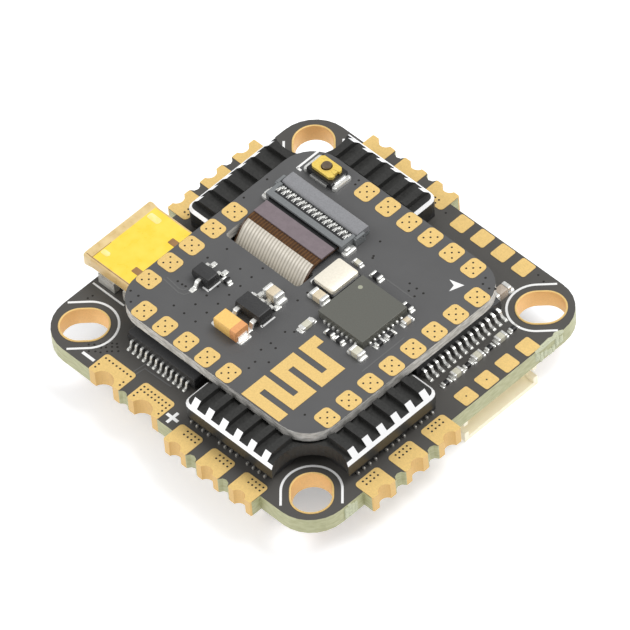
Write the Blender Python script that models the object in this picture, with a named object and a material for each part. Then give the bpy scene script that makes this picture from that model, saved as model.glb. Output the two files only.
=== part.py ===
"""Flight controller board: a main board with motor pads and heat sinks, a small
radio board above it, and the parts soldered to both. Metres, +Z up.

The origin is the centre of the four mounting slots, at the height the board stands
on when it lies on a table. +X runs towards the wire socket, -X towards the USB port.
"""
import math

import bmesh
import bpy
from mathutils import Matrix, Vector

MM = 0.001
GAP = 0.05 * MM                      # between two pieces that rest on each other

# Stack, from the table up
BOARD_Z = 3.0 * MM                   # underside of the main board
MAIN_T = 1.6 * MM
MAIN_TOP = BOARD_Z + MAIN_T
STACK_GAP = 2.2 * MM
UPPER_Z = MAIN_TOP + STACK_GAP
UPPER_T = 1.0 * MM
UPPER_TOP = UPPER_Z + UPPER_T

# Main board
MAIN_HALF = 15.93 * MM
MAIN_CORNER_R = 3.35 * MM
EAR_OUT = 17.0 * MM                  # how far the motor pads reach from the centre
EAR_START = 0.2 * MM
EAR_END = 10.15 * MM
PAD_FIRST = 1.5 * MM                 # motor pads: first centre and pitch along the edge
PAD_PITCH = 3.67 * MM
PAD_NOTCH_R = 0.7 * MM
PAD_NOTCH_DEPTH = 0.46 * MM
GAP_NOTCH_R = 0.55 * MM
GAP_NOTCH_DEPTH = 0.42 * MM
BATTERY_X = (-7.75 * MM, -3.3 * MM)  # centres of the two battery pads
BATTERY_NOTCH_R = 1.07 * MM
BATTERY_NOTCH_DEPTH = 0.8 * MM
BATTERY_GAP_X = -5.53 * MM
BATTERY_GAP_R = 0.5 * MM
BATTERY_GAP_DEPTH = 0.26 * MM

# Mounting slots: a 25.5 to 26.5 mm square pattern, each slot along its diagonal
SLOT_CENTRE = 13.0 * MM
SLOT_WIDTH = 3.25 * MM
SLOT_RUN = 0.7 * MM                  # straight part of the slot
LINER_WALL = 0.1 * MM
LINER_CLEAR = 0.03 * MM
RIM_WIDTH = 0.18 * MM
RIM_T = 0.05 * MM

# Upper board
UPPER_HALF = 11.42 * MM
UPPER_CORNER_R = 3.06 * MM
CABLE_SLOT = (-9.33 * MM, -0.45 * MM, -0.95 * MM, 1.5 * MM)
SPACER_PLACES = (("left", -10.2 * MM), ("right", 8.4 * MM))
SPACER_Y = -1.3 * MM
SPACER_R = 0.9 * MM

# Heat sinks: L-shaped, around the front and rear mounting slots
SINK_OUT = 14.55 * MM                # outer face of each arm from the centre
SINK_IN = 10.0 * MM
SINK_HOLE_R = 3.15 * MM              # concave end around the mounting slot
LOWER_SINK_HOLE_R = 4.5 * MM         # wider below, so that the slot stays open to the floor
SINK_CORNER_R = 0.85 * MM
SINK_STANDOFF = 0.95 * MM            # underside of the sink above the board
SINK_SHELF = 2.0 * MM                # low step that passes under the upper board
SINK_CHAMFER = 0.78 * MM
SINK_TOP = 2.82 * MM
FIN_DEPTH = 0.53 * MM
FIN_T = 0.66 * MM
FIN_FIRST = 1.2 * MM
FIN_PITCH = 1.6 * MM
FIN_COUNT = 6

# Power transistors under the sinks
FET_SIZE = 3.0 * MM
FET_H = 0.82 * MM
FET_OFF = 12.66 * MM                 # centre line of a row from the board's centre
FET_ALONG = (1.7 * MM, 4.9 * MM, 8.1 * MM)
LOWER_FET_ALONG = (1.6 * MM, 4.65 * MM, 7.7 * MM)

# USB port
USB_Y = -5.3 * MM
USB_W = 7.3 * MM
USB_H = 2.3 * MM
USB_MOUTH_X = -16.85 * MM
USB_REAR_X = -11.52 * MM
USB_WALL = 0.2 * MM
USB_FLARE = 0.1 * MM
USB_LIP = 0.9 * MM                   # length of the flared part
TAPE_T = 0.08 * MM

# Wire socket under the board
SOCKET_FACE_X = 15.5 * MM
SOCKET_D = 4.25 * MM
SOCKET_L = 8.3 * MM
SOCKET_Y = 5.6 * MM
SOCKET_H = 2.9 * MM
SOCKET_WALL = 0.45 * MM

# Flat-cable sockets
FLEX_X = -5.1 * MM
FLEX_W = 7.8 * MM
FLEX_T = 0.18 * MM
FLEX_SOCKET_L = 8.7 * MM
FLEX_SOCKET_H = 0.95 * MM
FLEX_MOUTH_Y = 4.4 * MM              # mouth of the upper socket, facing -Y
LOWER_MOUTH_Y = -3.2 * MM            # mouth of the lower socket, facing +Y
LATCH_AXIS_BACK = 2.02 * MM          # hinge behind the mouth
LATCH_AXIS_H = 0.66 * MM
LATCH_REACH = 1.1 * MM
LATCH_T = 0.5 * MM
TRUNNION_R = 0.12 * MM
TRUNNION_REACH = 0.28 * MM

# Boot button
BUTTON_XY = (-7.72 * MM, 9.64 * MM)
BUTTON_BASE = (2.8 * MM, 1.9 * MM, 0.62 * MM)
BUTTON_COVER = (2.36 * MM, 1.5 * MM, 0.34 * MM)
PLUNGER_R = 0.42 * MM
PLUNGER_FLANGE_R = 0.6 * MM          # kept in by the cover
PLUNGER_FLANGE_T = 0.1 * MM
PLUNGER_FOOT = 0.56 * MM             # foot and top above the upper board
PLUNGER_TOP = 1.27 * MM
PLUNGER_EDGE = 0.06 * MM
WELL_R = 0.72 * MM
WELL_FLOOR = 0.2 * MM
DOME_R = 0.64 * MM
DOME_FOOT = 0.24 * MM
DOME_RISE = 0.16 * MM
DOME_T = 0.06 * MM

# Chips and other soldered parts: centre, then length x width x height
CHIP_LIFT = 0.1 * MM                 # a pinned chip's body above its feet
RADIO_XY = (5.02 * MM, 1.01 * MM)
RADIO_SIZE = (5.05 * MM, 5.05 * MM, 0.82 * MM)
REGULATOR_XY = (-1.63 * MM, -4.67 * MM)
REGULATOR_SIZE = (2.8 * MM, 1.55 * MM, 1.0 * MM)
REGULATOR_PITCH = 0.95 * MM
TRANSISTOR_XY = (-7.04 * MM, -4.79 * MM)
TRANSISTOR_SIZE = (2.0 * MM, 1.25 * MM, 0.9 * MM)
TRANSISTOR_PITCH = 1.3 * MM
CRYSTAL_XY = (0.87 * MM, 2.14 * MM)
CRYSTAL_SIZE = (2.5 * MM, 3.2 * MM, 0.72 * MM)
CERAMIC_XY = (-1.61 * MM, -2.45 * MM)
CERAMIC_SIZE = (1.6 * MM, 1.0 * MM, 0.92 * MM)
TANTALUM_XY = (-1.68 * MM, -7.18 * MM)
TANTALUM_SIZE = (2.5 * MM, 1.5 * MM, 1.15 * MM)
VIDEO_XY = (8.62 * MM, 5.9 * MM)
VIDEO_SIZE = (9.7 * MM, 4.4 * MM, 1.0 * MM)
VIDEO_PITCH = 0.65 * MM
DRIVER_XY = (-5.3 * MM, -9.45 * MM)
DRIVER_SIZE = (7.8 * MM, 4.0 * MM, 1.05 * MM)
DRIVER_PITCH = 0.6 * MM
UNDER_PARTS = (
    ("processor_chip", "chip_plastic", (-1.5 * MM, 1.0 * MM), (7.0 * MM, 7.0 * MM, 0.6 * MM), 0.05 * MM),
    ("gyro_chip", "chip_plastic", (5.5 * MM, -3.5 * MM), (2.5 * MM, 2.5 * MM, 0.85 * MM), 0.05 * MM),
    ("power_inductor", "ferrite", (-9.5 * MM, -3.0 * MM), (4.0 * MM, 4.0 * MM, 1.9 * MM), 0.3 * MM),
)

# Each material: linear colour, roughness, metallic
PALETTE = {
    "solder_mask_main": ((0.045, 0.044, 0.05), 0.45, 0.0),
    "solder_mask_upper": ((0.085, 0.084, 0.086), 0.45, 0.0),
    "plated_gold": ((0.78, 0.54, 0.22), 0.3, 1.0),
    "tinned_metal": ((0.62, 0.62, 0.6), 0.3, 1.0),
    "anodised_black": ((0.03, 0.03, 0.03), 0.42, 1.0),
    "chip_plastic": ((0.03, 0.03, 0.032), 0.5, 0.0),
    "polyimide_film": ((0.98, 0.75, 0.08), 0.25, 0.0),
    "natural_nylon": ((0.9, 0.87, 0.76), 0.5, 0.0),
    "socket_plastic": ((0.16, 0.16, 0.165), 0.55, 0.0),
    "latch_plastic": ((0.3, 0.3, 0.3), 0.5, 0.0),
    "flex_film": ((0.2, 0.14, 0.16), 0.4, 0.0),
    "button_brass": ((0.85, 0.6, 0.12), 0.28, 1.0),
    "button_steel": ((0.5, 0.5, 0.5), 0.35, 1.0),
    "crystal_lid": ((0.85, 0.78, 0.55), 0.3, 1.0),
    "capacitor_ceramic": ((0.72, 0.62, 0.45), 0.5, 0.0),
    "tantalum_resin": ((0.92, 0.55, 0.18), 0.45, 0.0),
    "ferrite": ((0.1, 0.1, 0.11), 0.6, 0.0),
}


# ---------------------------------------------------------------- helpers

def clear_scene():
    for obj in list(bpy.data.objects):
        bpy.data.objects.remove(obj)


def make_material(name):
    """A material of the palette, made once and shared by the pieces that have it."""
    material = bpy.data.materials.get(name)
    if material:
        return material
    colour, roughness, metallic = PALETTE[name]
    material = bpy.data.materials.new(name)
    material.use_nodes = True
    shader = material.node_tree.nodes["Principled BSDF"]
    shader.inputs["Base Color"].default_value = (*colour, 1.0)
    shader.inputs["Roughness"].default_value = roughness
    shader.inputs["Metallic"].default_value = metallic
    return material


def add_object(name, bm, material, location=(0, 0, 0), turn=0.0, smooth=False):
    """Turns a bmesh into a named object, turned about Z by `turn` radians."""
    bmesh.ops.recalc_face_normals(bm, faces=bm.faces)
    mesh = bpy.data.meshes.new(name)
    bm.to_mesh(mesh)
    bm.free()
    if smooth:
        mesh.shade_smooth()
        mesh.set_sharp_from_angle(angle=math.radians(40))
    obj = bpy.data.objects.new(name, mesh)
    bpy.context.collection.objects.link(obj)
    obj.location = location
    obj.rotation_euler = (0, 0, turn)
    if material:
        mesh.materials.append(material)
    return obj


def add_cutter(name, bm, owner, operation="DIFFERENCE"):
    """Hides a mesh in the owner's frame and cuts it from, or joins it to, the owner."""
    cutter = add_object(name, bm, None)
    cutter.hide_render = True
    cutter.display_type = "WIRE"
    cutter.parent = owner
    modifier = owner.modifiers.new(name, "BOOLEAN")
    modifier.operation = operation
    modifier.object = cutter
    modifier.use_self = True
    return cutter


def arc(cx, cy, radius, start, end, steps):
    """Points on an arc, angles in degrees, both ends included."""
    points = []
    for i in range(steps + 1):
        angle = math.radians(start + (end - start) * i / steps)
        points.append((cx + radius * math.cos(angle), cy + radius * math.sin(angle)))
    return points


def circle(radius, steps=24, cx=0.0, cy=0.0):
    return arc(cx, cy, radius, 0, 360 - 360 / steps, steps - 1)


def rounded_rect(x0, y0, x1, y1, radius, steps=5):
    points = arc(x1 - radius, y0 + radius, radius, -90, 0, steps)
    points += arc(x1 - radius, y1 - radius, radius, 0, 90, steps)
    points += arc(x0 + radius, y1 - radius, radius, 90, 180, steps)
    points += arc(x0 + radius, y0 + radius, radius, 180, 270, steps)
    return points


def stadium(radius, run, steps=8):
    """A slot outline along +X, centred on the origin."""
    points = arc(run / 2, 0, radius, -90, 90, steps)
    points += arc(-run / 2, 0, radius, 90, 270, steps)
    return points


def rotated(points, angle, cx=0.0, cy=0.0):
    c, s = math.cos(angle), math.sin(angle)
    return [(cx + x * c - y * s, cy + x * s + y * c) for x, y in points]


def add_loops(bm, loops, closed=False):
    """Skins equal-length rings of 3-D points, with end caps unless closed."""
    rings = [[bm.verts.new(p) for p in loop] for loop in loops]
    count = len(rings[0])
    pairs = list(zip(rings, rings[1:]))
    if closed:
        pairs.append((rings[-1], rings[0]))
    for lower, upper in pairs:
        for i in range(count):
            j = (i + 1) % count
            bm.faces.new((lower[i], lower[j], upper[j], upper[i]))
    if not closed:
        bm.faces.new(list(reversed(rings[0])))
        bm.faces.new(rings[-1])
    return bm


def prism(points, z0, z1, bm=None):
    """Extrudes a counter-clockwise outline from z0 to z1."""
    bm = bm or bmesh.new()
    return add_loops(bm, [[(x, y, z) for x, y in points] for z in (z0, z1)])


def box(x0, y0, z0, x1, y1, z1, bm=None):
    return prism([(x0, y0), (x1, y0), (x1, y1), (x0, y1)], z0, z1, bm)


def bevelled_box(width, depth, height, edge, draft=0.0):
    """A chip body standing on z = 0, its sides leaning in and top edges bevelled."""
    def ring(inset, z):
        w, d = width / 2 - inset, depth / 2 - inset
        return [(-w, -d, z), (w, -d, z), (w, d, z), (-w, d, z)]

    levels = [ring(draft, 0), ring(0, height * 0.4), ring(draft, height - edge)]
    levels.append(ring(draft + edge, height))
    return add_loops(bmesh.new(), levels)


def extrude_x(profile, x0, x1, bm=None):
    """Extrudes a (y, z) outline along X."""
    bm = bm or bmesh.new()
    return add_loops(bm, [[(x, y, z) for y, z in profile] for x in (x0, x1)])


# ---------------------------------------------------------------- boards

def notch(centre, level, radius, depth, steps):
    """A round bite out of the outline y = -level, met while going towards +X."""
    half = math.sqrt(radius ** 2 - (radius - depth) ** 2)
    angle = math.degrees(math.atan2(radius - depth, half))
    cy = -(level + radius - depth)
    return arc(centre, cy, radius, 180 - angle, angle, steps)


def motor_ear():
    """The scalloped edge that carries three motor pads, going towards +X."""
    corner = 0.25 * MM
    points = [(EAR_START, -MAIN_HALF)]
    points += arc(EAR_START + corner, -EAR_OUT + corner, corner, 180, 270, 3)
    for i in range(3):
        centre = PAD_FIRST + PAD_PITCH * i
        points += notch(centre, EAR_OUT, PAD_NOTCH_R, PAD_NOTCH_DEPTH, 6)
        if i < 2:
            between = centre + PAD_PITCH / 2
            points += notch(between, EAR_OUT, GAP_NOTCH_R, GAP_NOTCH_DEPTH, 4)
    points += arc(EAR_END - corner, -EAR_OUT + corner, corner, 270, 360, 3)
    points.append((EAR_END, -MAIN_HALF))
    return points


def main_outline():
    """The whole board edge: an ear on each side, mirrored from side to side."""
    ear = motor_ear()
    mirrored = [(-x, y) for x, y in reversed(ear)]
    battery = notch(BATTERY_X[0], MAIN_HALF, BATTERY_NOTCH_R, BATTERY_NOTCH_DEPTH, 8)
    battery += notch(BATTERY_GAP_X, MAIN_HALF, BATTERY_GAP_R, BATTERY_GAP_DEPTH, 4)
    battery += notch(BATTERY_X[1], MAIN_HALF, BATTERY_NOTCH_R, BATTERY_NOTCH_DEPTH, 8)
    centre = MAIN_HALF - MAIN_CORNER_R
    corner = arc(centre, -centre, MAIN_CORNER_R, -90, 0, 7)
    outline = []
    for quarter, side in enumerate((battery + ear, mirrored, ear, mirrored)):
        outline += rotated(side + corner, math.radians(90 * quarter))
    return outline


def slot_places():
    """The four mounting slots: name, centre and the angle they run along."""
    signs = (("left", -1, -1), ("front", 1, -1), ("right", 1, 1), ("rear", -1, 1))
    places = []
    for name, sx, sy in signs:
        places.append((name, sx * SLOT_CENTRE, sy * SLOT_CENTRE, math.atan2(sy, sx)))
    return places


def make_main_board():
    mask = make_material("solder_mask_main")
    board = add_object("main_board", prism(main_outline(), BOARD_Z, MAIN_TOP), mask)
    cuts = bmesh.new()
    radius = SLOT_WIDTH / 2 + LINER_WALL + LINER_CLEAR
    for _, x, y, angle in slot_places():
        outline = rotated(stadium(radius, SLOT_RUN), angle, x, y)
        prism(outline, BOARD_Z - MM, MAIN_TOP + MM, cuts)
    add_cutter("main_board_slots", cuts, board)


def make_slot_liners():
    """Gold plated wall of each mounting slot, with a thin rim on both faces."""
    gold = make_material("plated_gold")
    hole = SLOT_WIDTH / 2
    low, high = BOARD_Z - LINER_CLEAR, MAIN_TOP + LINER_CLEAR
    profile = (
        (hole, low - RIM_T),
        (hole, high + RIM_T),
        (hole + RIM_WIDTH, high + RIM_T),
        (hole + RIM_WIDTH, high),
        (hole + LINER_WALL, high),
        (hole + LINER_WALL, low),
        (hole + RIM_WIDTH, low),
        (hole + RIM_WIDTH, low - RIM_T),
    )
    for name, x, y, angle in slot_places():
        rings = [[(px, py, z) for px, py in stadium(r, SLOT_RUN)] for r, z in profile]
        bm = add_loops(bmesh.new(), rings, closed=True)
        add_object(f"slot_liner_{name}", bm, gold, (x, y, 0), angle, smooth=True)


def make_upper_board():
    mask = make_material("solder_mask_upper")
    half = UPPER_HALF
    outline = rounded_rect(-half, -half, half, half, UPPER_CORNER_R, 8)
    board = add_object("upper_board", prism(outline, UPPER_Z, UPPER_TOP), mask)
    opening = rounded_rect(*CABLE_SLOT, 0.35 * MM, 3)
    cut = prism(opening, UPPER_Z - MM, UPPER_TOP + MM)
    add_cutter("upper_board_cable_slot", cut, board)


def make_spacers():
    """Two round posts that hold the radio board up between its corners."""
    metal = make_material("tinned_metal")
    for name, x in SPACER_PLACES:
        bm = prism(circle(SPACER_R), MAIN_TOP + GAP, UPPER_Z - GAP)
        add_object(f"board_spacer_{name}", bm, metal, (x, SPACER_Y, 0), smooth=True)


# ---------------------------------------------------------------- heat sinks

def sink_outline(inset, hole_r):
    """Outline of the front L-shaped sink, its outer edges moved in by `inset`.

    It goes round from the concave end at the mounting slot: along the right arm,
    back along its inner side, round the inner corner, and out along the front arm.
    """
    out = SINK_OUT - inset
    end = -inset
    radius = SINK_CORNER_R - inset
    reach = math.sqrt(hole_r ** 2 - (out - SLOT_CENTRE) ** 2)
    start = math.degrees(math.atan2(reach, out - SLOT_CENTRE))
    points = [(out, end - radius)]
    points += arc(out - radius, end - radius, radius, 0, 90, 4)[1:]
    points += [(SINK_IN, end), (SINK_IN, -7.4 * MM), (7.4 * MM, -SINK_IN), (-end, -SINK_IN)]
    points += arc(-end + radius, -out + radius, radius, 180, 270, 4)
    hollow = arc(SLOT_CENTRE, -SLOT_CENTRE, hole_r, 270 - start, start, 14)
    return points + hollow


def sink_channels():
    """Milled channels between the fins of both arms, and the one they share."""
    bm = bmesh.new()
    low, high = SINK_TOP - FIN_DEPTH, SINK_TOP + MM
    far = SINK_OUT + MM
    edge = -MM
    for i in range(FIN_COUNT):
        start = FIN_FIRST + FIN_PITCH * i - FIN_T / 2
        box(SINK_IN - MM, -start, low, far, -edge, high, bm)
        box(edge, -far, low, start, -SINK_IN + MM, high, bm)
        edge = start + FIN_T
    box(edge, -far, low, far, -edge, high, bm)
    return bm


def upper_board_room():
    """The room that the upper board needs above the sink's low step."""
    reach = UPPER_HALF + 0.3 * MM
    outline = rounded_rect(-reach, -reach, reach, reach, UPPER_CORNER_R + 0.3 * MM, 8)
    return prism(outline, SINK_SHELF, SINK_TOP + MM)


def make_heat_sink(name, turn, below, base):
    """One sink above the board or, flipped over, below it with a deeper base."""
    black = make_material("anodised_black")
    levels = (
        (0.0, base),
        (0.0, SINK_TOP - SINK_CHAMFER),
        (SINK_CHAMFER, SINK_TOP),
    )
    hole_r = LOWER_SINK_HOLE_R if below else SINK_HOLE_R
    rings = [[(x, y, z) for x, y in sink_outline(inset, hole_r)] for inset, z in levels]
    sink = add_object(name, add_loops(bmesh.new(), rings), black, turn=turn)
    add_cutter(f"{name}_channels", sink_channels(), sink)
    add_cutter(f"{name}_step", upper_board_room(), sink)
    if below:
        # Half a turn about the diagonal through the mounting slot swaps the two arms.
        diagonal = Vector((1, -1, 0)).normalized()
        flip = Matrix.Rotation(math.pi, 4, diagonal)
        sink.matrix_world = Matrix.Rotation(turn, 4, "Z") @ flip
        sink.location.z = SINK_TOP
    else:
        sink.location.z = MAIN_TOP
    return sink


def make_heat_sinks():
    lower_base = SINK_TOP - (BOARD_Z - SINK_STANDOFF)
    for place, turn in (("front", 0.0), ("rear", math.pi)):
        make_heat_sink(f"heat_sink_top_{place}", turn, False, SINK_STANDOFF)
        make_heat_sink(f"heat_sink_bottom_{place}", turn, True, lower_base)


def make_power_transistors():
    """Twelve power transistors on each face, three under each sink arm."""
    plastic = make_material("chip_plastic")
    rows = (
        ("top", FET_ALONG, MAIN_TOP + GAP),
        ("bottom", LOWER_FET_ALONG, BOARD_Z - GAP - FET_H),
    )
    for side, steps, z in rows:
        places = []
        for turn in (0.0, math.pi):
            for along in steps:
                places += rotated([(FET_OFF, -along), (along, -FET_OFF)], turn)
        for number, (x, y) in enumerate(places, 1):
            bm = bevelled_box(FET_SIZE, FET_SIZE, FET_H, 0.08 * MM)
            add_object(f"power_transistor_{side}_{number:02d}", bm, plastic, (x, y, z))


# ---------------------------------------------------------------- USB port

def usb_profile(grow):
    """Cross-section (y, z) of the port, its lower corners cut at a slant."""
    half = USB_W / 2 + grow
    low, high = 0.08 * MM - grow * 0.3, USB_H + grow
    slant = 0.95 * MM
    return [
        (-half + slant, low),
        (half - slant, low),
        (half, low + slant * 1.15),
        (half, high - 0.26 * MM),
        (half - 0.08 * MM, high - 0.08 * MM),
        (half - 0.26 * MM, high),
        (-half + 0.26 * MM, high),
        (-half + 0.08 * MM, high - 0.08 * MM),
        (-half, high - 0.26 * MM),
        (-half, low + slant * 1.15),
    ]


def usb_rings(stations):
    return [[(x, USB_Y + y, MAIN_TOP + z) for y, z in usb_profile(g)] for x, g in stations]


def make_usb_shell():
    """Folded metal shell with a flared mouth, closed at the back, on four feet."""
    metal = make_material("tinned_metal")
    mouth, rear, wall = USB_MOUTH_X, USB_REAR_X, USB_WALL
    stations = (
        (rear, 0.0),
        (mouth + USB_LIP, 0.0),
        (mouth, USB_FLARE),
        (mouth, USB_FLARE - wall),
        (mouth + USB_LIP, -wall),
        (rear - wall, -wall),
    )
    shell = add_object("usb_shell", add_loops(bmesh.new(), usb_rings(stations)), metal)
    feet = bmesh.new()
    for side in (-1, 1):
        for x, length in ((mouth + 1.45 * MM, 1.85 * MM), (rear - 1.0 * MM, 0.9 * MM)):
            y0 = USB_Y + side * (USB_W / 2 - 0.45 * MM)
            y1 = USB_Y + side * (USB_W / 2 + 0.12 * MM)
            low, high = min(y0, y1), max(y0, y1)
            z = MAIN_TOP + GAP
            box(x, low, z, x + length, high, z + 1.1 * MM, feet)
    add_cutter("usb_shell_feet", feet, shell, "UNION")


def make_usb_tongue():
    """Plastic insulator: a block at the back of the shell with a thin tongue."""
    plastic = make_material("chip_plastic")
    z = MAIN_TOP + 0.35 * MM
    back = USB_REAR_X - USB_WALL - GAP
    front = USB_MOUTH_X + 0.9 * MM
    profile = [
        (back, z),
        (back, z + 1.6 * MM),
        (back - 0.9 * MM, z + 1.6 * MM),
        (back - 0.9 * MM, z + 1.3 * MM),
        (front, z + 1.3 * MM),
        (front, z + 0.8 * MM),
        (back - 0.9 * MM, z + 0.8 * MM),
        (back - 0.9 * MM, z),
    ]
    half = 1.85 * MM
    rings = [[(x, USB_Y + y, h) for x, h in profile] for y in (-half, half)]
    add_object("usb_tongue", add_loops(bmesh.new(), rings), plastic)


def make_usb_tape():
    """Insulating film over the top and sides of the port, following its flare."""
    film = make_material("polyimide_film")
    near = GAP
    far = GAP + TAPE_T

    def section(x, grow, skirt):
        outer = [p for p in usb_profile(grow + far) if p[1] > skirt]
        inner = [p for p in usb_profile(grow + near) if p[1] > skirt]
        start, stop = outer[0][0], outer[-1][0]
        loop = [(start, skirt)] + outer + [(stop, skirt)]
        loop += [(inner[-1][0], skirt)] + inner[::-1] + [(inner[0][0], skirt)]
        return [(x, USB_Y + y, MAIN_TOP + z) for y, z in loop]

    rings = [
        section(USB_REAR_X, 0.0, 1.5 * MM),
        section(USB_MOUTH_X + USB_LIP, 0.0, 1.35 * MM),
        section(USB_MOUTH_X - 0.05 * MM, USB_FLARE, 1.25 * MM),
    ]
    add_object("usb_tape", add_loops(bmesh.new(), rings), film)


# ---------------------------------------------------------------- wire socket

def make_wire_socket():
    """Side-entry wire socket soldered under the board, its mouth facing +X."""
    nylon = make_material("natural_nylon")
    x0, x1 = SOCKET_FACE_X - SOCKET_D, SOCKET_FACE_X
    y0, y1 = SOCKET_Y - SOCKET_L / 2, SOCKET_Y + SOCKET_L / 2
    z1 = BOARD_Z - GAP
    z0 = z1 - SOCKET_H
    wall = SOCKET_WALL
    body = add_object("wire_socket", box(x0, y0, z0, x1, y1, z1), nylon)
    cuts = box(x0 + 0.9 * MM, y0 + wall, z0 + wall, x1 + MM, y1 - wall, z1 - wall)
    for y in (y0, y1):
        box(x1 - 1.0 * MM, y - wall * 1.5, z0 + MM, x1 + MM, y + wall * 1.5, z1 - MM, cuts)
    add_cutter("wire_socket_cavity", cuts, body)


# ---------------------------------------------------------------- flat cable

def socket_frame(name, mouth_y, z, facing):
    """Empty at a flat-cable socket's mouth; its own +Y points into the socket."""
    frame = bpy.data.objects.new(name, None)
    bpy.context.collection.objects.link(frame)
    frame.location = (FLEX_X, mouth_y, z)
    frame.rotation_euler = (0, 0, 0 if facing < 0 else math.pi)
    return frame


def make_flex_socket(name, frame):
    """Low socket: mouth at the front, contact window, and cheeks for the latch."""
    plastic = make_material("socket_plastic")
    half, high = FLEX_SOCKET_L / 2, FLEX_SOCKET_H
    axis, cheek = LATCH_AXIS_BACK, 0.25 * MM
    cheek_in = half + 0.05 * MM
    body = add_object(name, box(-half, 0, GAP, half, 3.1 * MM, 0.3 * MM), plastic)
    body.parent = frame
    front = box(-half, 0, 0.2 * MM, half, 0.95 * MM, high)
    for side in (-1, 1):
        x0, x1 = sorted((side * (half - 0.35 * MM), side * half))
        box(x0, 0.9 * MM, 0.2 * MM, x1, 1.6 * MM, high, front)
        x0, x1 = sorted((side * (half - 0.1 * MM), side * (cheek_in + cheek)))
        box(x0, 1.3 * MM, GAP, x1, 1.5 * MM, high - 0.1 * MM, front)
        x0, x1 = sorted((side * cheek_in, side * (cheek_in + cheek)))
        box(x0, 1.45 * MM, GAP, x1, axis + 0.35 * MM, high - 0.05 * MM, front)
    add_cutter(f"{name}_walls", front, body, "UNION")
    mouth = FLEX_W / 2 + 0.15 * MM
    hollow = box(-mouth, -MM, 0.3 * MM, mouth, 1.2 * MM, 0.74 * MM)
    add_cutter(f"{name}_mouth", hollow, body)
    bore = bmesh.new()
    reach = cheek_in + cheek + MM
    extrude_x(circle(TRUNNION_R + GAP, 12, axis, LATCH_AXIS_H), -reach, reach, bore)
    add_cutter(f"{name}_pivots", bore, body)
    return body


def make_flex_latch(name, frame):
    """Flip latch: its free edge lifts about a bar just behind the contacts."""
    plastic = make_material("latch_plastic")
    half = FLEX_SOCKET_L / 2 - 0.02 * MM
    nose = LATCH_T / 2
    profile = arc(0, 0, nose, 90, 270, 6)
    profile += [
        (LATCH_REACH, -nose),
        (LATCH_REACH, nose - 0.08 * MM),
        (LATCH_REACH - 0.1 * MM, nose),
    ]
    latch = add_object(name, extrude_x(profile, -half, half), plastic)
    latch.parent = frame
    latch.location = (0, LATCH_AXIS_BACK, LATCH_AXIS_H)
    reach = half + TRUNNION_REACH
    bar = extrude_x(circle(TRUNNION_R, 12), -reach, reach)
    add_cutter(f"{name}_trunnions", bar, latch, "UNION")


def flex_route():
    """Centre line (y, z) of the flat cable, from the upper socket to the lower."""
    up = UPPER_TOP + 0.52 * MM
    down = MAIN_TOP + 0.52 * MM
    corners = (
        (FLEX_MOUTH_Y + 0.9 * MM, up),
        (2.5 * MM, up),
        (1.85 * MM, up - 0.03 * MM),
        (1.25 * MM, UPPER_TOP + 0.2 * MM),
        (0.75 * MM, UPPER_TOP - 0.35 * MM),
        (0.35 * MM, UPPER_Z + 0.1 * MM),
        (-0.1 * MM, UPPER_Z - 0.55 * MM),
        (-0.75 * MM, MAIN_TOP + 1.0 * MM),
        (-1.6 * MM, MAIN_TOP + 0.66 * MM),
        (-2.5 * MM, down),
        (LOWER_MOUTH_Y - 0.9 * MM, down),
    )
    return [Vector((0, y, z)) for y, z in corners]


def make_flex_cable():
    """Flat flexible cable as a strip with its real thickness."""
    film = make_material("flex_film")
    route = flex_route()
    rings = []
    for i, point in enumerate(route):
        before = route[max(i - 1, 0)]
        after = route[min(i + 1, len(route) - 1)]
        run = (after - before).normalized()
        across = Vector((0, -run.z, run.y)) * FLEX_T / 2
        a, b = point + across, point - across
        x0, x1 = FLEX_X - FLEX_W / 2, FLEX_X + FLEX_W / 2
        rings.append([(x0, a.y, a.z), (x1, a.y, a.z), (x1, b.y, b.z), (x0, b.y, b.z)])
    add_object("flex_cable", add_loops(bmesh.new(), rings), film)


def make_flat_cable_link():
    upper = socket_frame("upper_flex_frame", FLEX_MOUTH_Y, UPPER_TOP, -1)
    make_flex_socket("flex_socket_upper", upper)
    make_flex_latch("flex_latch_upper", upper)
    lower = socket_frame("lower_flex_frame", LOWER_MOUTH_Y, MAIN_TOP, 1)
    make_flex_socket("flex_socket_lower", lower)
    make_flex_latch("flex_latch_lower", lower)
    make_flex_cable()


# ---------------------------------------------------------------- boot button

def make_button_base(x, y, z):
    width, depth, height = BUTTON_BASE
    body = box(-width / 2, -depth / 2, 0, width / 2, depth / 2, height)
    base = add_object("button_base", body, make_material("chip_plastic"), (x, y, z))
    add_cutter("button_base_well", prism(circle(WELL_R), WELL_FLOOR, height + MM), base)


def make_button_dome(x, y, z):
    """Snap dome: a thin curved disc with a small hole at its crown."""
    reach = (0.3, 0.62, 0.85, 1.0)
    under = [(DOME_R * r, DOME_FOOT + DOME_RISE * (1 - r ** 2)) for r in reach]
    profile = [(r, h + DOME_T) for r, h in under] + under[::-1]
    rings = [[(px, py, h) for px, py in circle(r)] for r, h in profile]
    dome = add_loops(bmesh.new(), rings)
    add_object("button_dome", dome, make_material("button_steel"), (x, y, z), smooth=True)


def make_button_cover(x, y, z):
    width, depth, height = BUTTON_COVER
    outline = rounded_rect(-width / 2, -depth / 2, width / 2, depth / 2, 0.15 * MM, 3)
    brass = make_material("button_brass")
    cover = add_object("button_cover", prism(outline, 0, height), brass, (x, y, z))
    hole = prism(circle(PLUNGER_R + PLUNGER_EDGE), -MM, height + MM)
    add_cutter("button_cover_hole", hole, cover)


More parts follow.
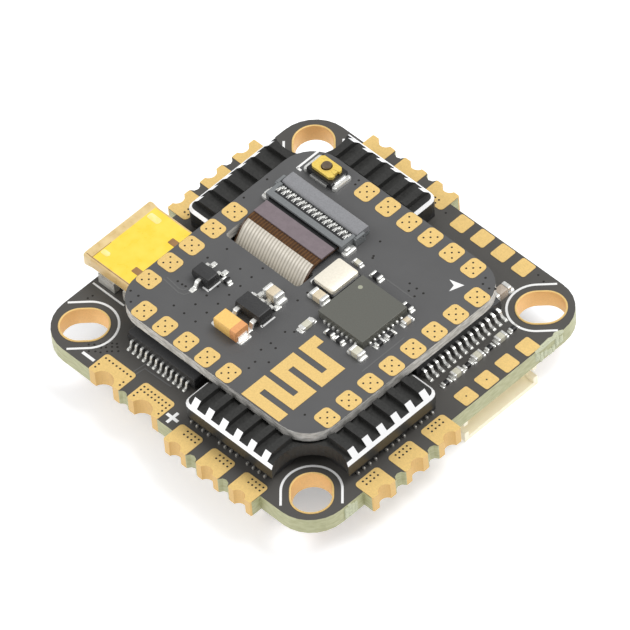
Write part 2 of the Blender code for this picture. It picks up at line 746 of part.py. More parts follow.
def make_button_plunger(x, y):
    """Round plunger, its origin on its line of travel, with a flange under the cover."""
    tall = PLUNGER_TOP - PLUNGER_FOOT
    levels = (
        (PLUNGER_FLANGE_R, 0),
        (PLUNGER_FLANGE_R, PLUNGER_FLANGE_T),
        (PLUNGER_R, PLUNGER_FLANGE_T),
        (PLUNGER_R, tall - PLUNGER_EDGE),
        (PLUNGER_R - PLUNGER_EDGE, tall),
    )
    rings = [[(px, py, h) for px, py in circle(r)] for r, h in levels]
    steel = make_material("button_steel")
    place = (x, y, UPPER_TOP + PLUNGER_FOOT)
    add_object("button_plunger", add_loops(bmesh.new(), rings), steel, place, smooth=True)


def make_button():
    """Tiny push button: base, snap dome, metal cover and a plunger through it."""
    x, y = BUTTON_XY
    z = UPPER_TOP + GAP
    make_button_base(x, y, z)
    make_button_dome(x, y, z)
    make_button_cover(x, y, z + BUTTON_BASE[2] + GAP)
    make_button_plunger(x, y)


# ---------------------------------------------------------------- chips

def gull_wing(bm, x, y, out, width, shoulder):
    """One bent pin: from the body at `shoulder` height down to a flat foot."""
    ox, oy = out
    along = Vector((-oy, ox, 0)) * width / 2
    steps = (
        (-0.25, shoulder), (0.35, shoulder), (0.55, 0.14), (1.0, 0.14),
        (1.0, 0.0), (0.45, 0.0), (0.25, shoulder - 0.14), (-0.25, shoulder - 0.14),
    )
    rings = []
    for side in (-1, 1):
        ring = []
        for reach, height in steps:
            base = Vector((x + ox * reach * MM, y + oy * reach * MM, height * MM))
            ring.append(base + along * side)
        rings.append(ring)
    add_loops(bm, rings)


def pin_row(count, pitch):
    """Places of `count` pins along a chip's side, centred on it."""
    return [(i - (count - 1) / 2) * pitch for i in range(count)]


def make_pinned_chip(name, centre, body, rows, pin_width, board_z, turn=0.0):
    """A moulded chip with bent pins: `rows` are the pin places on its two long sides."""
    length, width, height = body
    bm = bevelled_box(length, width, height, 0.06 * MM, 0.05 * MM)
    bmesh.ops.translate(bm, vec=(0, 0, CHIP_LIFT), verts=bm.verts)
    place = (*centre, board_z + GAP)
    chip = add_object(name, bm, make_material("chip_plastic"), place, turn)
    legs = bmesh.new()
    shoulder = (height / MM) * 0.55
    for side, row in zip((-1, 1), rows):
        for x in row:
            gull_wing(legs, x, side * width / 2, (0, side), pin_width, shoulder)
    add_cutter(f"{name}_pins", legs, chip, "UNION")


def make_block(name, material, centre, size, z, edge, draft=0.0):
    """A chip or other soldered part that is one bevelled block."""
    block = bevelled_box(*size, edge, draft)
    add_object(name, block, make_material(material), (*centre, z))


def make_upper_chips():
    z = UPPER_TOP + GAP
    make_block("radio_chip", "chip_plastic", RADIO_XY, RADIO_SIZE, z, 0.05 * MM)
    regulator_pins = (pin_row(2, 2 * REGULATOR_PITCH), pin_row(3, REGULATOR_PITCH))
    make_pinned_chip("regulator", REGULATOR_XY, REGULATOR_SIZE, regulator_pins, 0.4 * MM, UPPER_TOP)
    transistor_pins = (pin_row(1, 0.0), pin_row(2, TRANSISTOR_PITCH))
    make_pinned_chip("transistor", TRANSISTOR_XY, TRANSISTOR_SIZE, transistor_pins, 0.32 * MM,
                     UPPER_TOP)
    make_block("crystal", "crystal_lid", CRYSTAL_XY, CRYSTAL_SIZE, z, 0.1 * MM)
    make_block("ceramic_capacitor", "capacitor_ceramic", CERAMIC_XY, CERAMIC_SIZE, z, 0.06 * MM)
    make_block("tantalum_capacitor", "tantalum_resin", TANTALUM_XY, TANTALUM_SIZE, z,
               0.05 * MM, 0.04 * MM)


def make_main_chips():
    video_pins = (pin_row(14, VIDEO_PITCH), pin_row(14, VIDEO_PITCH))
    make_pinned_chip("video_chip", VIDEO_XY, VIDEO_SIZE, video_pins, 0.24 * MM, MAIN_TOP, math.pi / 2)
    driver_pins = (pin_row(12, DRIVER_PITCH), pin_row(12, DRIVER_PITCH))
    make_pinned_chip("driver_chip", DRIVER_XY, DRIVER_SIZE, driver_pins, 0.24 * MM, MAIN_TOP)


def make_under_parts():
    """Parts on the underside, each hanging from the board by its own height."""
    for name, material, centre, size, edge in UNDER_PARTS:
        z = BOARD_Z - GAP - size[2]
        make_block(name, material, centre, size, z, edge)


def main():
    clear_scene()
    make_main_board()
    make_slot_liners()
    make_upper_board()
    make_spacers()
    make_heat_sinks()
    make_power_transistors()
    make_usb_shell()
    make_usb_tongue()
    make_usb_tape()
    make_wire_socket()
    make_flat_cable_link()
    make_button()
    make_upper_chips()
    make_main_chips()
    make_under_parts()


main()
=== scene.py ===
"""Looks of the flight controller board: finishes for its solids, and the copper pads,
contacts, solder joints, printing and small parts that the solids leave out."""
import math
import random

import bmesh
import bpy
from mathutils import Matrix, Vector


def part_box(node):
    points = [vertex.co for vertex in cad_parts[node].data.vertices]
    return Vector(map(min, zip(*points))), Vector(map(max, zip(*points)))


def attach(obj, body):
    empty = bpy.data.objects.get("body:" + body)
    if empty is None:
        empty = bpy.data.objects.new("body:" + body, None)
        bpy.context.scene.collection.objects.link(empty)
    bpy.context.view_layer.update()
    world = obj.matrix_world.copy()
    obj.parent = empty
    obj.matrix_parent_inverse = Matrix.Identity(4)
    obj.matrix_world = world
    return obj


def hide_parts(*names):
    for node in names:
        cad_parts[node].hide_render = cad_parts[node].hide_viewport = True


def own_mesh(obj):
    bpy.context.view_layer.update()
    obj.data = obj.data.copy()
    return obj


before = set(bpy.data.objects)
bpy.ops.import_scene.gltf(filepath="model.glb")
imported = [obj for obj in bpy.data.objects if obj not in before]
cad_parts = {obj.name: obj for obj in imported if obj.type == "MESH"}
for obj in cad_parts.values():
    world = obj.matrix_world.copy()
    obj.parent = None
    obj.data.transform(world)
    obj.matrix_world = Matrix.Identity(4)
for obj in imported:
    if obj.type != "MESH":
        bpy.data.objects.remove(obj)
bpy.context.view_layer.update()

MM = 0.001
RNG = random.Random(26)

# Levels and edges read from the model's parts, in metres
MAIN_LOW, MAIN_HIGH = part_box("main_board")
MAIN_TOP, MAIN_UNDER = MAIN_HIGH[2], MAIN_LOW[2]
UPPER_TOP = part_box("upper_board")[1][2]
EAR_OUT = MAIN_HIGH[0]

COPPER_T = 0.035 * MM                # copper and its plating above the mask
INK_T = 0.02 * MM                    # marks go this deep; printing also stands this high
# Holes and vias are drawn as dark discs, painted shade in place of their depth.
HOLE_PROUD = 0.004 * MM              # a pad's holes are dark discs just above its copper
MARK_PROUD = 0.006 * MM              # the same for vias and for dots on chips
TRACK_PROUD = 0.01 * MM
MAIN_HALF = 15.93 * MM               # the board's edge beside the pad ears
SLOT_CENTRE = 13.0 * MM
LEVEL_FACE = 0.6                     # a face counts as level above this much upright direction
SMOOTH_ANGLE, BEVEL_ANGLE = math.radians(38), math.radians(40)
WHITE = (1.0, 1.0, 1.0, 1.0)

# Motor and battery pads, along an edge
PAD_FIRST, PAD_PITCH, PAD_W = 1.5 * MM, 3.67 * MM, 2.62 * MM
PAD_NOTCH_R, PAD_NOTCH_DEPTH = 0.7 * MM, 0.46 * MM
PAD_INNER = 14.88 * MM
BATTERY_X = (-7.75 * MM, -3.3 * MM)
BATTERY_W = 3.55 * MM
BATTERY_NOTCH_R, BATTERY_NOTCH_DEPTH = 1.07 * MM, 0.8 * MM
BATTERY_INNER = 13.82 * MM

# Mounting slots: hole, straight run, width of the plated rim
SLOT_R, SLOT_RUN, RIM_W = 1.625 * MM, 0.7 * MM, 0.17 * MM

# USB port: middle, half width and height of the shell, and where its mouth starts to flare
PORT_Y, PORT_HALF, PORT_H = -5.3 * MM, 3.65 * MM, 2.3 * MM
PORT_REAR_X, PORT_FLARE_X, PORT_MOUTH_X = -11.52 * MM, -15.95 * MM, -16.9 * MM
FILM_NEAR, FILM_FAR = 0.05 * MM, 0.13 * MM
FILM_FOLD_X = -16.08 * MM            # the flat yellow part of the film ends here

# Edge pads of the radio board
LAND_PITCH = 2.416 * MM
LAND_LEVEL = 10.457 * MM
LAND_SIZE = (1.63 * MM, 1.84 * MM)

# Contacts: how many in a row, and how far apart
CHIP_PITCH = 0.5 * MM
TRANSISTOR_LEADS, LEAD_PITCH = 4, 0.65 * MM
USB_CONTACTS, USB_PITCH = 5, 0.65 * MM
WIRE_WAYS, WIRE_PITCH = 6, 1.0 * MM
CABLE_WAYS, CABLE_PITCH = 14, 0.585 * MM

# Small pads of the main board
TAB_PITCH = 2.32 * MM
TAB_LEVEL = 15.05 * MM
TAB_SIZE = (1.56 * MM, 1.5 * MM)


# ---------------------------------------------------------------- materials

class Nodes:
    """A short way to write a material's node tree."""

    def __init__(self, name):
        self.material = bpy.data.materials.new(name)
        self.material.use_nodes = True
        self.tree = self.material.node_tree
        self.shader = self.tree.nodes["Principled BSDF"]

    def add(self, kind, **inputs):
        node = self.tree.nodes.new(kind)
        for key, value in inputs.items():
            node.inputs[key.replace("_", " ")].default_value = value
        return node

    def link(self, out, into):
        self.tree.links.new(out, into)

    def place(self, scale=1.0):
        """Object coordinates, in units of a millimetre over `scale`."""
        coords = self.add("ShaderNodeTexCoord")
        mapping = self.add("ShaderNodeMapping")
        mapping.inputs["Scale"].default_value = (scale / MM,) * 3
        self.link(coords.outputs["Object"], mapping.inputs["Vector"])
        return mapping.outputs["Vector"]

    def noise(self, scale, detail=3.0, rough=0.55):
        node = self.add("ShaderNodeTexNoise", Scale=1.0, Detail=detail, Roughness=rough)
        self.link(self.place(scale), node.inputs["Vector"])
        return node.outputs["Fac"]

    def ramp(self, fac, stops):
        """Colours or greys along a 0 to 1 value."""
        node = self.add("ShaderNodeValToRGB")
        elements = node.color_ramp.elements
        while len(elements) < len(stops):
            elements.new(0.5)
        for element, (place, colour) in zip(elements, stops):
            element.position = place
            element.color = (*colour, 1.0) if isinstance(colour, tuple) else (colour,) * 3 + (1.0,)
        self.link(fac, node.inputs["Fac"])
        return node.outputs["Color"]

    def shades(self, fac, low, high):
        return self.ramp(fac, ((0.3, low), (0.7, high)))

    def varied(self, fac, colour, low, high):
        """A colour times `low` to `high`."""
        return self.shades(fac, scaled(colour, low), scaled(colour, high))

    def mix(self, fac, first, second):
        """Mixes two colours; each is a socket or a tuple."""
        node = self.add("ShaderNodeMix")
        node.data_type = "RGBA"
        for value, key in ((first, 6), (second, 7)):
            if isinstance(value, tuple):
                node.inputs[key].default_value = (*value, 1.0)
            else:
                self.link(value, node.inputs[key])
        self.link(fac, node.inputs[0])
        return node.outputs[2]

    def math(self, operation, first, second=None):
        node = self.add("ShaderNodeMath")
        node.operation = operation
        for i, value in enumerate((first, second)):
            if value is None:
                continue
            if isinstance(value, (int, float)):
                node.inputs[i].default_value = value
            else:
                self.link(value, node.inputs[i])
        return node.outputs[0]

    def bump(self, height, distance, strength=1.0):
        node = self.add("ShaderNodeBump", Strength=strength, Distance=distance)
        self.link(height, node.inputs["Height"])
        self.link(node.outputs["Normal"], self.shader.inputs["Normal"])

    def colour(self, socket):
        self.link(socket, self.shader.inputs["Base Color"])

    def roughness(self, fac, low, high):
        node = self.add("ShaderNodeMapRange")
        node.inputs["To Min"].default_value = low
        node.inputs["To Max"].default_value = high
        self.link(fac, node.inputs["Value"])
        self.link(node.outputs["Result"], self.shader.inputs["Roughness"])

    def split(self, vector):
        """A vector's parts, named X, Y and Z."""
        node = self.add("ShaderNodeSeparateXYZ")
        self.link(vector, node.inputs["Vector"])
        return node.outputs

    def level(self):
        """1 where the surface lies flat, 0 where it stands upright."""
        geometry = self.add("ShaderNodeNewGeometry")
        return self.math("ABSOLUTE", self.split(geometry.outputs["True Normal"])["Z"])

    def level_face(self):
        return self.math("GREATER_THAN", self.level(), LEVEL_FACE)

    def set(self, **inputs):
        for key, value in inputs.items():
            self.shader.inputs[key.replace("_", " ")].default_value = value


def scaled(colour, factor):
    return tuple(min(1.0, c * factor) for c in colour)


def solid(name, colour, rough, metallic=0.0, grain=6.0, spread=0.12, bump=0.002, coat=0.0):
    """A finish with fine grain: colour, roughness and relief vary together."""
    n = Nodes(name)
    fac = n.noise(grain, 4.0)
    n.colour(n.varied(fac, colour, 1 - spread, 1 + spread))
    n.roughness(fac, rough - 0.07, rough + 0.07)
    n.bump(n.noise(grain * 3, 2.0), bump * MM)
    n.set(Metallic=metallic, Coat_Weight=coat, Coat_Roughness=0.15)
    return n.material


def board_material(name, mask, edge_pale, edge_dark):
    """Solder mask on the faces; on the edge, glass laminate in thin layers."""
    n = Nodes(name)
    cloud = n.noise(0.35, 3.0)
    weave = n.noise(9.0, 2.0)
    face = n.varied(cloud, mask, 0.95, 1.05)
    split = n.split(n.place(5.0))
    layers = n.add("ShaderNodeTexNoise", Scale=1.0, Detail=3.0)
    stretch = n.add("ShaderNodeCombineXYZ")
    for axis in ("X", "Y"):
        n.link(n.math("MULTIPLY", split[axis], 0.25), stretch.inputs[axis])
    n.link(split["Z"], stretch.inputs["Z"])
    n.link(stretch.outputs["Vector"], layers.inputs["Vector"])
    side = n.ramp(layers.outputs["Fac"], ((0.35, edge_dark), (0.62, edge_pale)))
    n.colour(n.mix(n.level_face(), side, face))
    n.roughness(weave, 0.36, 0.5)
    n.bump(weave, 0.004 * MM, 0.6)
    n.set(IOR=1.5)
    return n.material


def gold_with_painted_walls(name, top, wall):
    """Gold plate, pale and grainy on flat lands; upright walls get a second colour that paints in how the
    plated walls are lit.
    """
    n = Nodes(name)
    grain = n.noise(7.0, 5.0, 0.65)
    flat = n.varied(grain, top, 0.9, 1.08)
    # Painted shading: faces that stand upright take the wall colour, a differently lit copy of the same
    # plating.
    down = n.varied(grain, wall, 0.92, 1.05)
    n.colour(n.mix(n.level_face(), down, flat))
    n.roughness(grain, 0.38, 0.58)
    n.bump(n.noise(14.0, 4.0), 0.006 * MM)
    n.set(Metallic=0.3)
    return n.material


def sink_material():
    """Black anodised aluminium with a bare, bright chamfer milled after anodising."""
    n = Nodes("anodised_black")
    grain = n.noise(5.0, 4.0)
    black = n.shades(grain, (0.013, 0.013, 0.012), (0.028, 0.028, 0.026))
    cut = n.math("MULTIPLY", n.level_face(), n.math("LESS_THAN", n.level(), 0.8))
    n.colour(n.mix(cut, black, (0.95, 0.95, 0.95)))
    n.link(n.math("MULTIPLY", cut, 0.35), n.shader.inputs["Metallic"])
    n.roughness(grain, 0.34, 0.5)
    n.bump(n.noise(11.0, 3.0), 0.005 * MM)
    return n.material


def film_material(name, low, high):
    """Thin polyimide film, glossy and slightly wrinkled."""
    n = Nodes(name)
    wrinkle = n.noise(0.9, 3.0)
    n.colour(n.ramp(wrinkle, ((0.3, low), (0.65, high))))
    n.roughness(wrinkle, 0.22, 0.36)
    n.bump(wrinkle, 0.04 * MM, 0.4)
    n.set(Coat_Weight=0.3, Coat_Roughness=0.15)
    return n.material


def striped_material():
    """Tinned conductors of the flat cable, laid side by side under clear film."""
    n = Nodes("cable_conductors")
    pitch = 0.31
    phase = n.math("MULTIPLY", n.split(n.place())["X"], 2 * math.pi / pitch)
    wave = n.math("SINE", phase)
    fac = n.math("MULTIPLY", n.math("ADD", wave, 1.0), 0.5)
    n.colour(n.ramp(fac, ((0.1, (0.46, 0.42, 0.35)), (0.6, (0.74, 0.69, 0.6)))))
    n.roughness(fac, 0.42, 0.3)
    n.bump(fac, 0.02 * MM)
    n.set(Metallic=0.15)
    return n.material


def nylon_with_painted_glow():
    """Natural nylon with a painted glow: a little emission stands in for the light that gets inside and
    brightens it in the shade.
    """
    n = Nodes("natural_nylon")
    cloud = n.noise(1.5, 3.0)
    n.colour(n.shades(cloud, (0.9, 0.84, 0.66), (0.94, 0.88, 0.7)))
    n.roughness(cloud, 0.36, 0.48)
    n.bump(n.noise(5.0), 0.004 * MM)
    # Painted glow: emission on a part that is no lamp.
    n.set(Emission_Color=(1.0, 0.9, 0.66, 1.0), Emission_Strength=0.09)
    return n.material


def paper_material():
    """White paper under bright studio light, which still glows where a shadow falls."""
    n = Nodes("paper")
    fibre = n.noise(0.02, 2.0)
    n.colour(n.shades(fibre, (0.89, 0.905, 0.93), (0.905, 0.92, 0.945)))
    n.roughness(fibre, 0.65, 0.75)
    n.set(Emission_Color=WHITE, Emission_Strength=0.36)
    return n.material


def make_materials():
    """Every finish, under the names the rest of the script uses."""
    return {
        "main_mask": board_material(
            "main_mask", (0.074, 0.07, 0.064), (0.47, 0.47, 0.27), (0.38, 0.38, 0.2)),
        "upper_mask": board_material(
            "upper_mask", (0.094, 0.094, 0.095), (0.72, 0.7, 0.66), (0.42, 0.41, 0.38)),
        # Each gold's second colour paints how its plated walls are lit: darker on the pads, brighter and
        # redder in the slot barrels.
        "gold": gold_with_painted_walls("plated_gold", (0.86, 0.6, 0.22), (0.72, 0.47, 0.17)),
        "barrel": gold_with_painted_walls("plated_barrel", (0.84, 0.58, 0.22), (0.93, 0.6, 0.25)),
        "sink": sink_material(),
        "chip": solid("chip_plastic", (0.032, 0.032, 0.033), 0.5, grain=12.0, spread=0.25, bump=0.006),
        "tin": solid("tinned_metal", (0.88, 0.88, 0.85), 0.28, 0.6, grain=6.0, bump=0.01),
        "plate": solid("tin_plate", (0.76, 0.74, 0.68), 0.3, 0.55, grain=1.3, spread=0.1, bump=0.005),
        "solder": solid("dull_solder", (0.5, 0.49, 0.46), 0.4, 0.6, grain=7.0, bump=0.01),
        "film": film_material("polyimide_film", (0.96, 0.66, 0.05), (1.0, 0.73, 0.09)),
        # Darker film for the port's sides, painted shade.
        "film_side": film_material("film_side_painted_shade", (0.66, 0.45, 0.17), (0.76, 0.54, 0.23)),
        "film_lip": film_material("film_at_the_mouth", (0.66, 0.47, 0.2), (0.82, 0.63, 0.32)),
        # Pale film colour for painted highlights.
        "film_pale": film_material("film_painted_highlight", (1.0, 0.76, 0.14), (1.0, 0.88, 0.42)),
        # Brown for the film's marks and lines; the line at the lip paints shade.
        "film_brown": film_material("film_brown_marks_and_shade", (0.27, 0.14, 0.05), (0.36, 0.2, 0.08)),
        "nylon": nylon_with_painted_glow(),
        "socket": solid("socket_plastic", (0.185, 0.195, 0.2), 0.5, grain=9.0, bump=0.006),
        "latch": solid("latch_plastic", (0.25, 0.252, 0.265), 0.45, grain=9.0, bump=0.006),
        "stiffener": solid("flex_film", (0.204, 0.165, 0.18), 0.32, grain=3.0, spread=0.08),
        "amber": solid("amber_film", (0.066, 0.026, 0.006), 0.28, grain=4.0, spread=0.3),
        "ridge": solid("amber_ridge", (0.12, 0.052, 0.012), 0.28, grain=4.0, spread=0.2),
        "trace": solid("mask_over_copper", (0.125, 0.125, 0.124), 0.4, grain=9.0, spread=0.04),
        "laminate": solid("bare_laminate", (0.55, 0.57, 0.4), 0.6, grain=8.0, spread=0.2, bump=0.02),
        "stripes": striped_material(),
        "brass": solid("button_brass", (0.97, 0.68, 0.15), 0.34, 0.3, grain=6.0),
        "steel": solid("button_steel", (0.17, 0.13, 0.09), 0.35, 0.5, grain=6.0),
        "lid": solid("crystal_lid", (0.93, 0.87, 0.74), 0.34, 0.2, grain=5.0, spread=0.04),
        "cream": solid("capacitor_ceramic", (0.68, 0.58, 0.42), 0.42, grain=7.0),
        "resin": solid("tantalum_resin", (0.9, 0.57, 0.17), 0.4, grain=6.0, spread=0.08),
        "band": solid("resin_band", (0.78, 0.36, 0.14), 0.4, grain=6.0, spread=0.08),
        "ink": solid("white_ink", (0.88, 0.88, 0.87), 0.55, grain=12.0, spread=0.06, bump=0.004),
        # Near black for holes and vias: painted shade inside them.
        "hole": solid("hole_painted_shade", (0.01, 0.008, 0.006), 0.7, grain=8.0),
        "black": solid("black_body", (0.015, 0.015, 0.016), 0.4, grain=9.0, spread=0.2),
        "chip_top": solid("chip_top", (0.115, 0.116, 0.1), 0.42, grain=9.0, spread=0.06, bump=0.004),
        "faded": solid("faded_ink", (0.36, 0.37, 0.28), 0.6, grain=9.0),
        "pale": solid("pale_ceramic", (0.62, 0.6, 0.49), 0.4, grain=7.0, spread=0.08),
        "tan": solid("tan_ceramic", (0.5, 0.42, 0.34), 0.4, grain=7.0, spread=0.08),
        "paper": paper_material(),
        "ferrite": solid("ferrite", (0.1, 0.1, 0.11), 0.6, grain=8.0, spread=0.2, bump=0.01),
    }


# ---------------------------------------------------------------- mesh helpers

def arc(cx, cy, radius, start, end, steps):
    """Points on an arc, angles in degrees, both ends included."""
    points = []
    for i in range(steps + 1):
        angle = math.radians(start + (end - start) * i / steps)
        points.append((cx + radius * math.cos(angle), cy + radius * math.sin(angle)))
    return points


def circle(radius, steps=24, cx=0.0, cy=0.0):
    return arc(cx, cy, radius, 0, 360 - 360 / steps, steps - 1)


def rounded_rect(x0, y0, x1, y1, radius, steps=5):
    points = arc(x1 - radius, y0 + radius, radius, -90, 0, steps)
    points += arc(x1 - radius, y1 - radius, radius, 0, 90, steps)
    points += arc(x0 + radius, y1 - radius, radius, 90, 180, steps)
    points += arc(x0 + radius, y0 + radius, radius, 180, 270, steps)
    return points


def turned(points, angle, cx=0.0, cy=0.0):
    """Points turned by `angle` degrees about the origin, then moved."""
    c, s = math.cos(math.radians(angle)), math.sin(math.radians(angle))
    return [(cx + x * c - y * s, cy + x * s + y * c) for x, y in points]


def patch(x, y, width, depth, radius, steps=4, angle=0):
    """A rounded rectangle centred on (x, y), turned by `angle` degrees."""
    outline = rounded_rect(-width / 2, -depth / 2, width / 2, depth / 2, radius, steps)
    return turned(outline, angle, x, y)


def in_mm(points):
    return [(x * MM, y * MM) for x, y in points]


def measured(node):
    """A node's lowest and highest corners, and its middle in plan."""
    low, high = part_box(node)
    return low, high, (low[0] + high[0]) / 2, (low[1] + high[1]) / 2


def at_level(points, z):
    return [(x, y, z) for x, y in points]


def row_of(count, pitch):
    """Places of `count` things, evenly spaced about zero."""
    return [(i - (count - 1) / 2) * pitch for i in range(count)]


def ngon_caps(bm, ring, up):
    """Closes a ring with triangles, which copes with outlines that bend inwards."""
    face = bm.faces.new(ring if up else list(reversed(ring)))
    face.normal_update()
    bmesh.ops.triangulate(bm, faces=[face])


def skin(bm, loops, closed=False, mat=0):
    """Skins rings of 3-D points into a closed body; `closed` joins last to first."""
    rings = [[bm.verts.new(p) for p in loop] for loop in loops]
    before = set(bm.faces)
    count = len(rings[0])
    pairs = list(zip(rings, rings[1:]))
    if closed:
        pairs.append((rings[-1], rings[0]))
    for lower, upper in pairs:
        for i in range(count):
            j = (i + 1) % count
            bm.faces.new((lower[i], lower[j], upper[j], upper[i]))
    if not closed:
        ngon_caps(bm, rings[0], False)
        ngon_caps(bm, rings[-1], True)
    for face in set(bm.faces) - before:
        face.material_index = mat
    return bm


def prism(bm, points, z0, z1, mat=0):
    return skin(bm, [at_level(points, z) for z in (z0, z1)], mat=mat)


def cushion(bm, points, z0, z1, edge, mat=0):
    """A prism whose upper edge is rounded by pulling its last ring in by `edge`."""
    cx = sum(p[0] for p in points) / len(points)
    cy = sum(p[1] for p in points) / len(points)
    reach = max(math.hypot(x - cx, y - cy) for x, y in points)
    rings = []
    for pull, z in ((0.0, z0), (0.0, z1 - edge), (0.3, z1 - edge * 0.3), (1.0, z1)):
        k = 1 - pull * edge / reach
        rings.append([(cx + (x - cx) * k, cy + (y - cy) * k, z) for x, y in points])
    return skin(bm, rings, mat=mat)


def box(bm, xa, ya, z0, xb, yb, z1, mat=0):
    """A block between two corners; in x and y they may come in either order."""
    x0, x1 = sorted((xa, xb))
    y0, y1 = sorted((ya, yb))
    return prism(bm, [(x0, y0), (x1, y0), (x1, y1), (x0, y1)], z0, z1, mat)


def ribbon(bm, path, width, z0, z1, mat=0):
    """A flat line of even width along an open path of (x, y) points."""
    left, right = [], []
    for i, (x, y) in enumerate(path):
        x0, y0 = path[max(i - 1, 0)]
        x1, y1 = path[min(i + 1, len(path) - 1)]
        run = math.hypot(x1 - x0, y1 - y0)
        nx, ny = -(y1 - y0) / run * width / 2, (x1 - x0) / run * width / 2
        left.append((x + nx, y + ny))
        right.append((x - nx, y - ny))
    return prism(bm, right + left[::-1], z0, z1, mat)


def add_object(name, data):
    obj = bpy.data.objects.new(name, data)
    bpy.context.collection.objects.link(obj)
    return obj


def piece(name, bm, slot, *materials, bevel=0.0, smooth=False, body="root"):
    """Finishes a mesh as one named piece that rides on a body."""
    bmesh.ops.recalc_face_normals(bm, faces=bm.faces)
    mesh = bpy.data.meshes.new(name)
    bm.to_mesh(mesh)
    bm.free()
    for material in materials:
        mesh.materials.append(MATERIALS[material])
    obj = add_object(name, mesh)
    if smooth:
        mesh.shade_smooth()
        mesh.set_sharp_from_angle(angle=SMOOTH_ANGLE)
    if bevel:
        modifier = obj.modifiers.new("edge", "BEVEL")
        modifier.width = bevel
        modifier.segments = 2
        modifier.limit_method = "ANGLE"
        modifier.angle_limit = BEVEL_ANGLE
    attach(obj, body)
    return obj


# ---------------------------------------------------------------- finishes of the solids

def dress_solids():
    """Gives the solids that stay in view their finish, by the start of their names."""
    finishes = {
        "main_board": "main_mask",
        "upper_board": "upper_mask",
        "heat_sink": "sink",
        "board_spacer": "plate",
        "power_transistor": "chip",
        "usb_shell": "plate",
        "usb_tongue": "black",
        "wire_socket": "nylon",
        "flex_socket": "socket",
        "flex_latch": "latch",
        "button_base": "black",
        "button_plunger": "steel",
        "processor_chip": "chip",
        "gyro_chip": "chip",
        "power_inductor": "ferrite",
    }
    for node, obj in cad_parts.items():
        for start, material in finishes.items():
            if node.startswith(start):
                obj.data.materials.clear()
                obj.data.materials.append(MATERIALS[material])


# ---------------------------------------------------------------- pads

def notch(centre, level, radius, depth, steps):
    """A round bite out of the line y = -level, met while going towards +X."""
    half = math.sqrt(radius ** 2 - (radius - depth) ** 2)
    angle = math.degrees(math.atan2(radius - depth, half))
    return arc(centre, -(level + radius - depth), radius, 180 - angle, angle, steps)


def castellation(centre, width, inner, level, radius, depth):
    """Outline of a pad whose outer edge has a plated half-hole, on the -Y side."""
    grow = COPPER_T * 0.6
    half = width / 2 - 0.03 * MM
    corner, tip = 0.35 * MM, 0.12 * MM
    out = level + grow
    points = arc(centre - half + tip, -out + tip, tip, 180, 270, 3)
    points += notch(centre, out, radius - grow, depth, 10)
    points += arc(centre + half - tip, -out + tip, tip, 270, 360, 3)
    points += arc(centre + half - corner, -inner - corner, corner, 0, 90, 5)
    points += arc(centre - half + corner, -inner - corner, corner, 90, 180, 5)
    return points


def pad_hole(bm, x, y, radius, top, steps=10):
    """A small drilled hole in a pad on the board's face at `top`, drawn as a dark disc that paints the
    shade inside it.
    """
    prism(bm, circle(radius, steps, x, y), top, top + COPPER_T + HOLE_PROUD, 1)


def drilled(name, outline, vias, angle):
    """A castellated pad through the board's whole thickness, with drilled holes."""
    bm = bmesh.new()
    prism(bm, turned(outline, angle), MAIN_UNDER - COPPER_T, MAIN_TOP + COPPER_T)
    for x, y in turned(vias, angle):
        pad_hole(bm, x, y, 0.095 * MM, MAIN_TOP)
    piece(name, bm, "plated_gold", "gold", "hole")


def motor_pads():
    """Three pads on each side; each has two rows of four small holes."""
    sides = (("front", 0, 1), ("right", 90, -1), ("rear", 180, 1), ("left", 270, -1))
    for side, angle, direction in sides:
        for i in range(3):
            centre = (PAD_FIRST + PAD_PITCH * i) * direction
            outline = castellation(centre, PAD_W, PAD_INNER, EAR_OUT, PAD_NOTCH_R, PAD_NOTCH_DEPTH)
            shift = (0.3 if side in ("front", "rear") else -0.05) * MM * direction
            vias = []
            for row in (0.3 * MM, 0.72 * MM):
                for step in row_of(4, 0.42 * MM):
                    vias.append((centre + shift + step, -(PAD_INNER + row)))
            drilled(f"motor_pad_{side}_{i + 1}", outline, vias, angle)


def battery_pads():
    """Two large pads; a line of holes near the inner edge and a few down the sides."""
    for name, centre, rows in (("minus", BATTERY_X[0], 1), ("plus", BATTERY_X[1], 2)):
        outline = castellation(
            centre, BATTERY_W, BATTERY_INNER, MAIN_HALF, BATTERY_NOTCH_R, BATTERY_NOTCH_DEPTH)
        vias = []
        for row in range(rows):
            for step in row_of(8, 0.41 * MM):
                vias.append((centre + step, -(BATTERY_INNER + (0.45 + 0.4 * row) * MM)))
        for side in (-1, 1):
            for down in (1.25 * MM, 1.65 * MM):
                vias.append((centre + side * 1.42 * MM, -(BATTERY_INNER + down)))
        drilled(f"battery_pad_{name}", outline, vias, 0)


def land(bm, x, y, angle):
    """One edge pad of the radio board: rounded, five small holes as on a die."""
    outline = patch(x, y, *LAND_SIZE, 0.42 * MM, 5, angle)
    prism(bm, outline, UPPER_TOP - COPPER_T, UPPER_TOP + COPPER_T)
    dots = in_mm([(0, 0), (-0.4, -0.4), (0.4, -0.4), (0.4, 0.4), (-0.4, 0.4)])
    for dx, dy in turned(dots, angle, x, y):
        pad_hole(bm, dx, dy, 0.09 * MM, UPPER_TOP)


def radio_board_lands():
    """Four rows of pads, starting at the first centre along each edge."""
    level = LAND_LEVEL
    rows = (
        ("front", 5, lambda a: (a, -level), -8.35 * MM, 0),
        ("rear", 6, lambda a: (a, level), -4.02 * MM, 0),
        ("left", 5, lambda a: (-level, a), -7.89 * MM, 90),
        ("right", 8, lambda a: (level, a), -8.43 * MM, 90),
    )
    for side, count, place, first, angle in rows:
        bm = bmesh.new()
        for i in range(count):
            x, y = place(first + LAND_PITCH * i)
            land(bm, x, y, angle)
        piece(f"radio_pads_{side}", bm, "plated_gold", "gold", "hole")


def stadium(radius, cx, cy, angle):
    """Outline of a mounting slot, its straight run along `angle` degrees."""
    points = arc(SLOT_RUN / 2, 0, radius, -90, 90, 24)
    points += arc(-SLOT_RUN / 2, 0, radius, 90, 270, 24)
    return turned(points, angle, cx, cy)


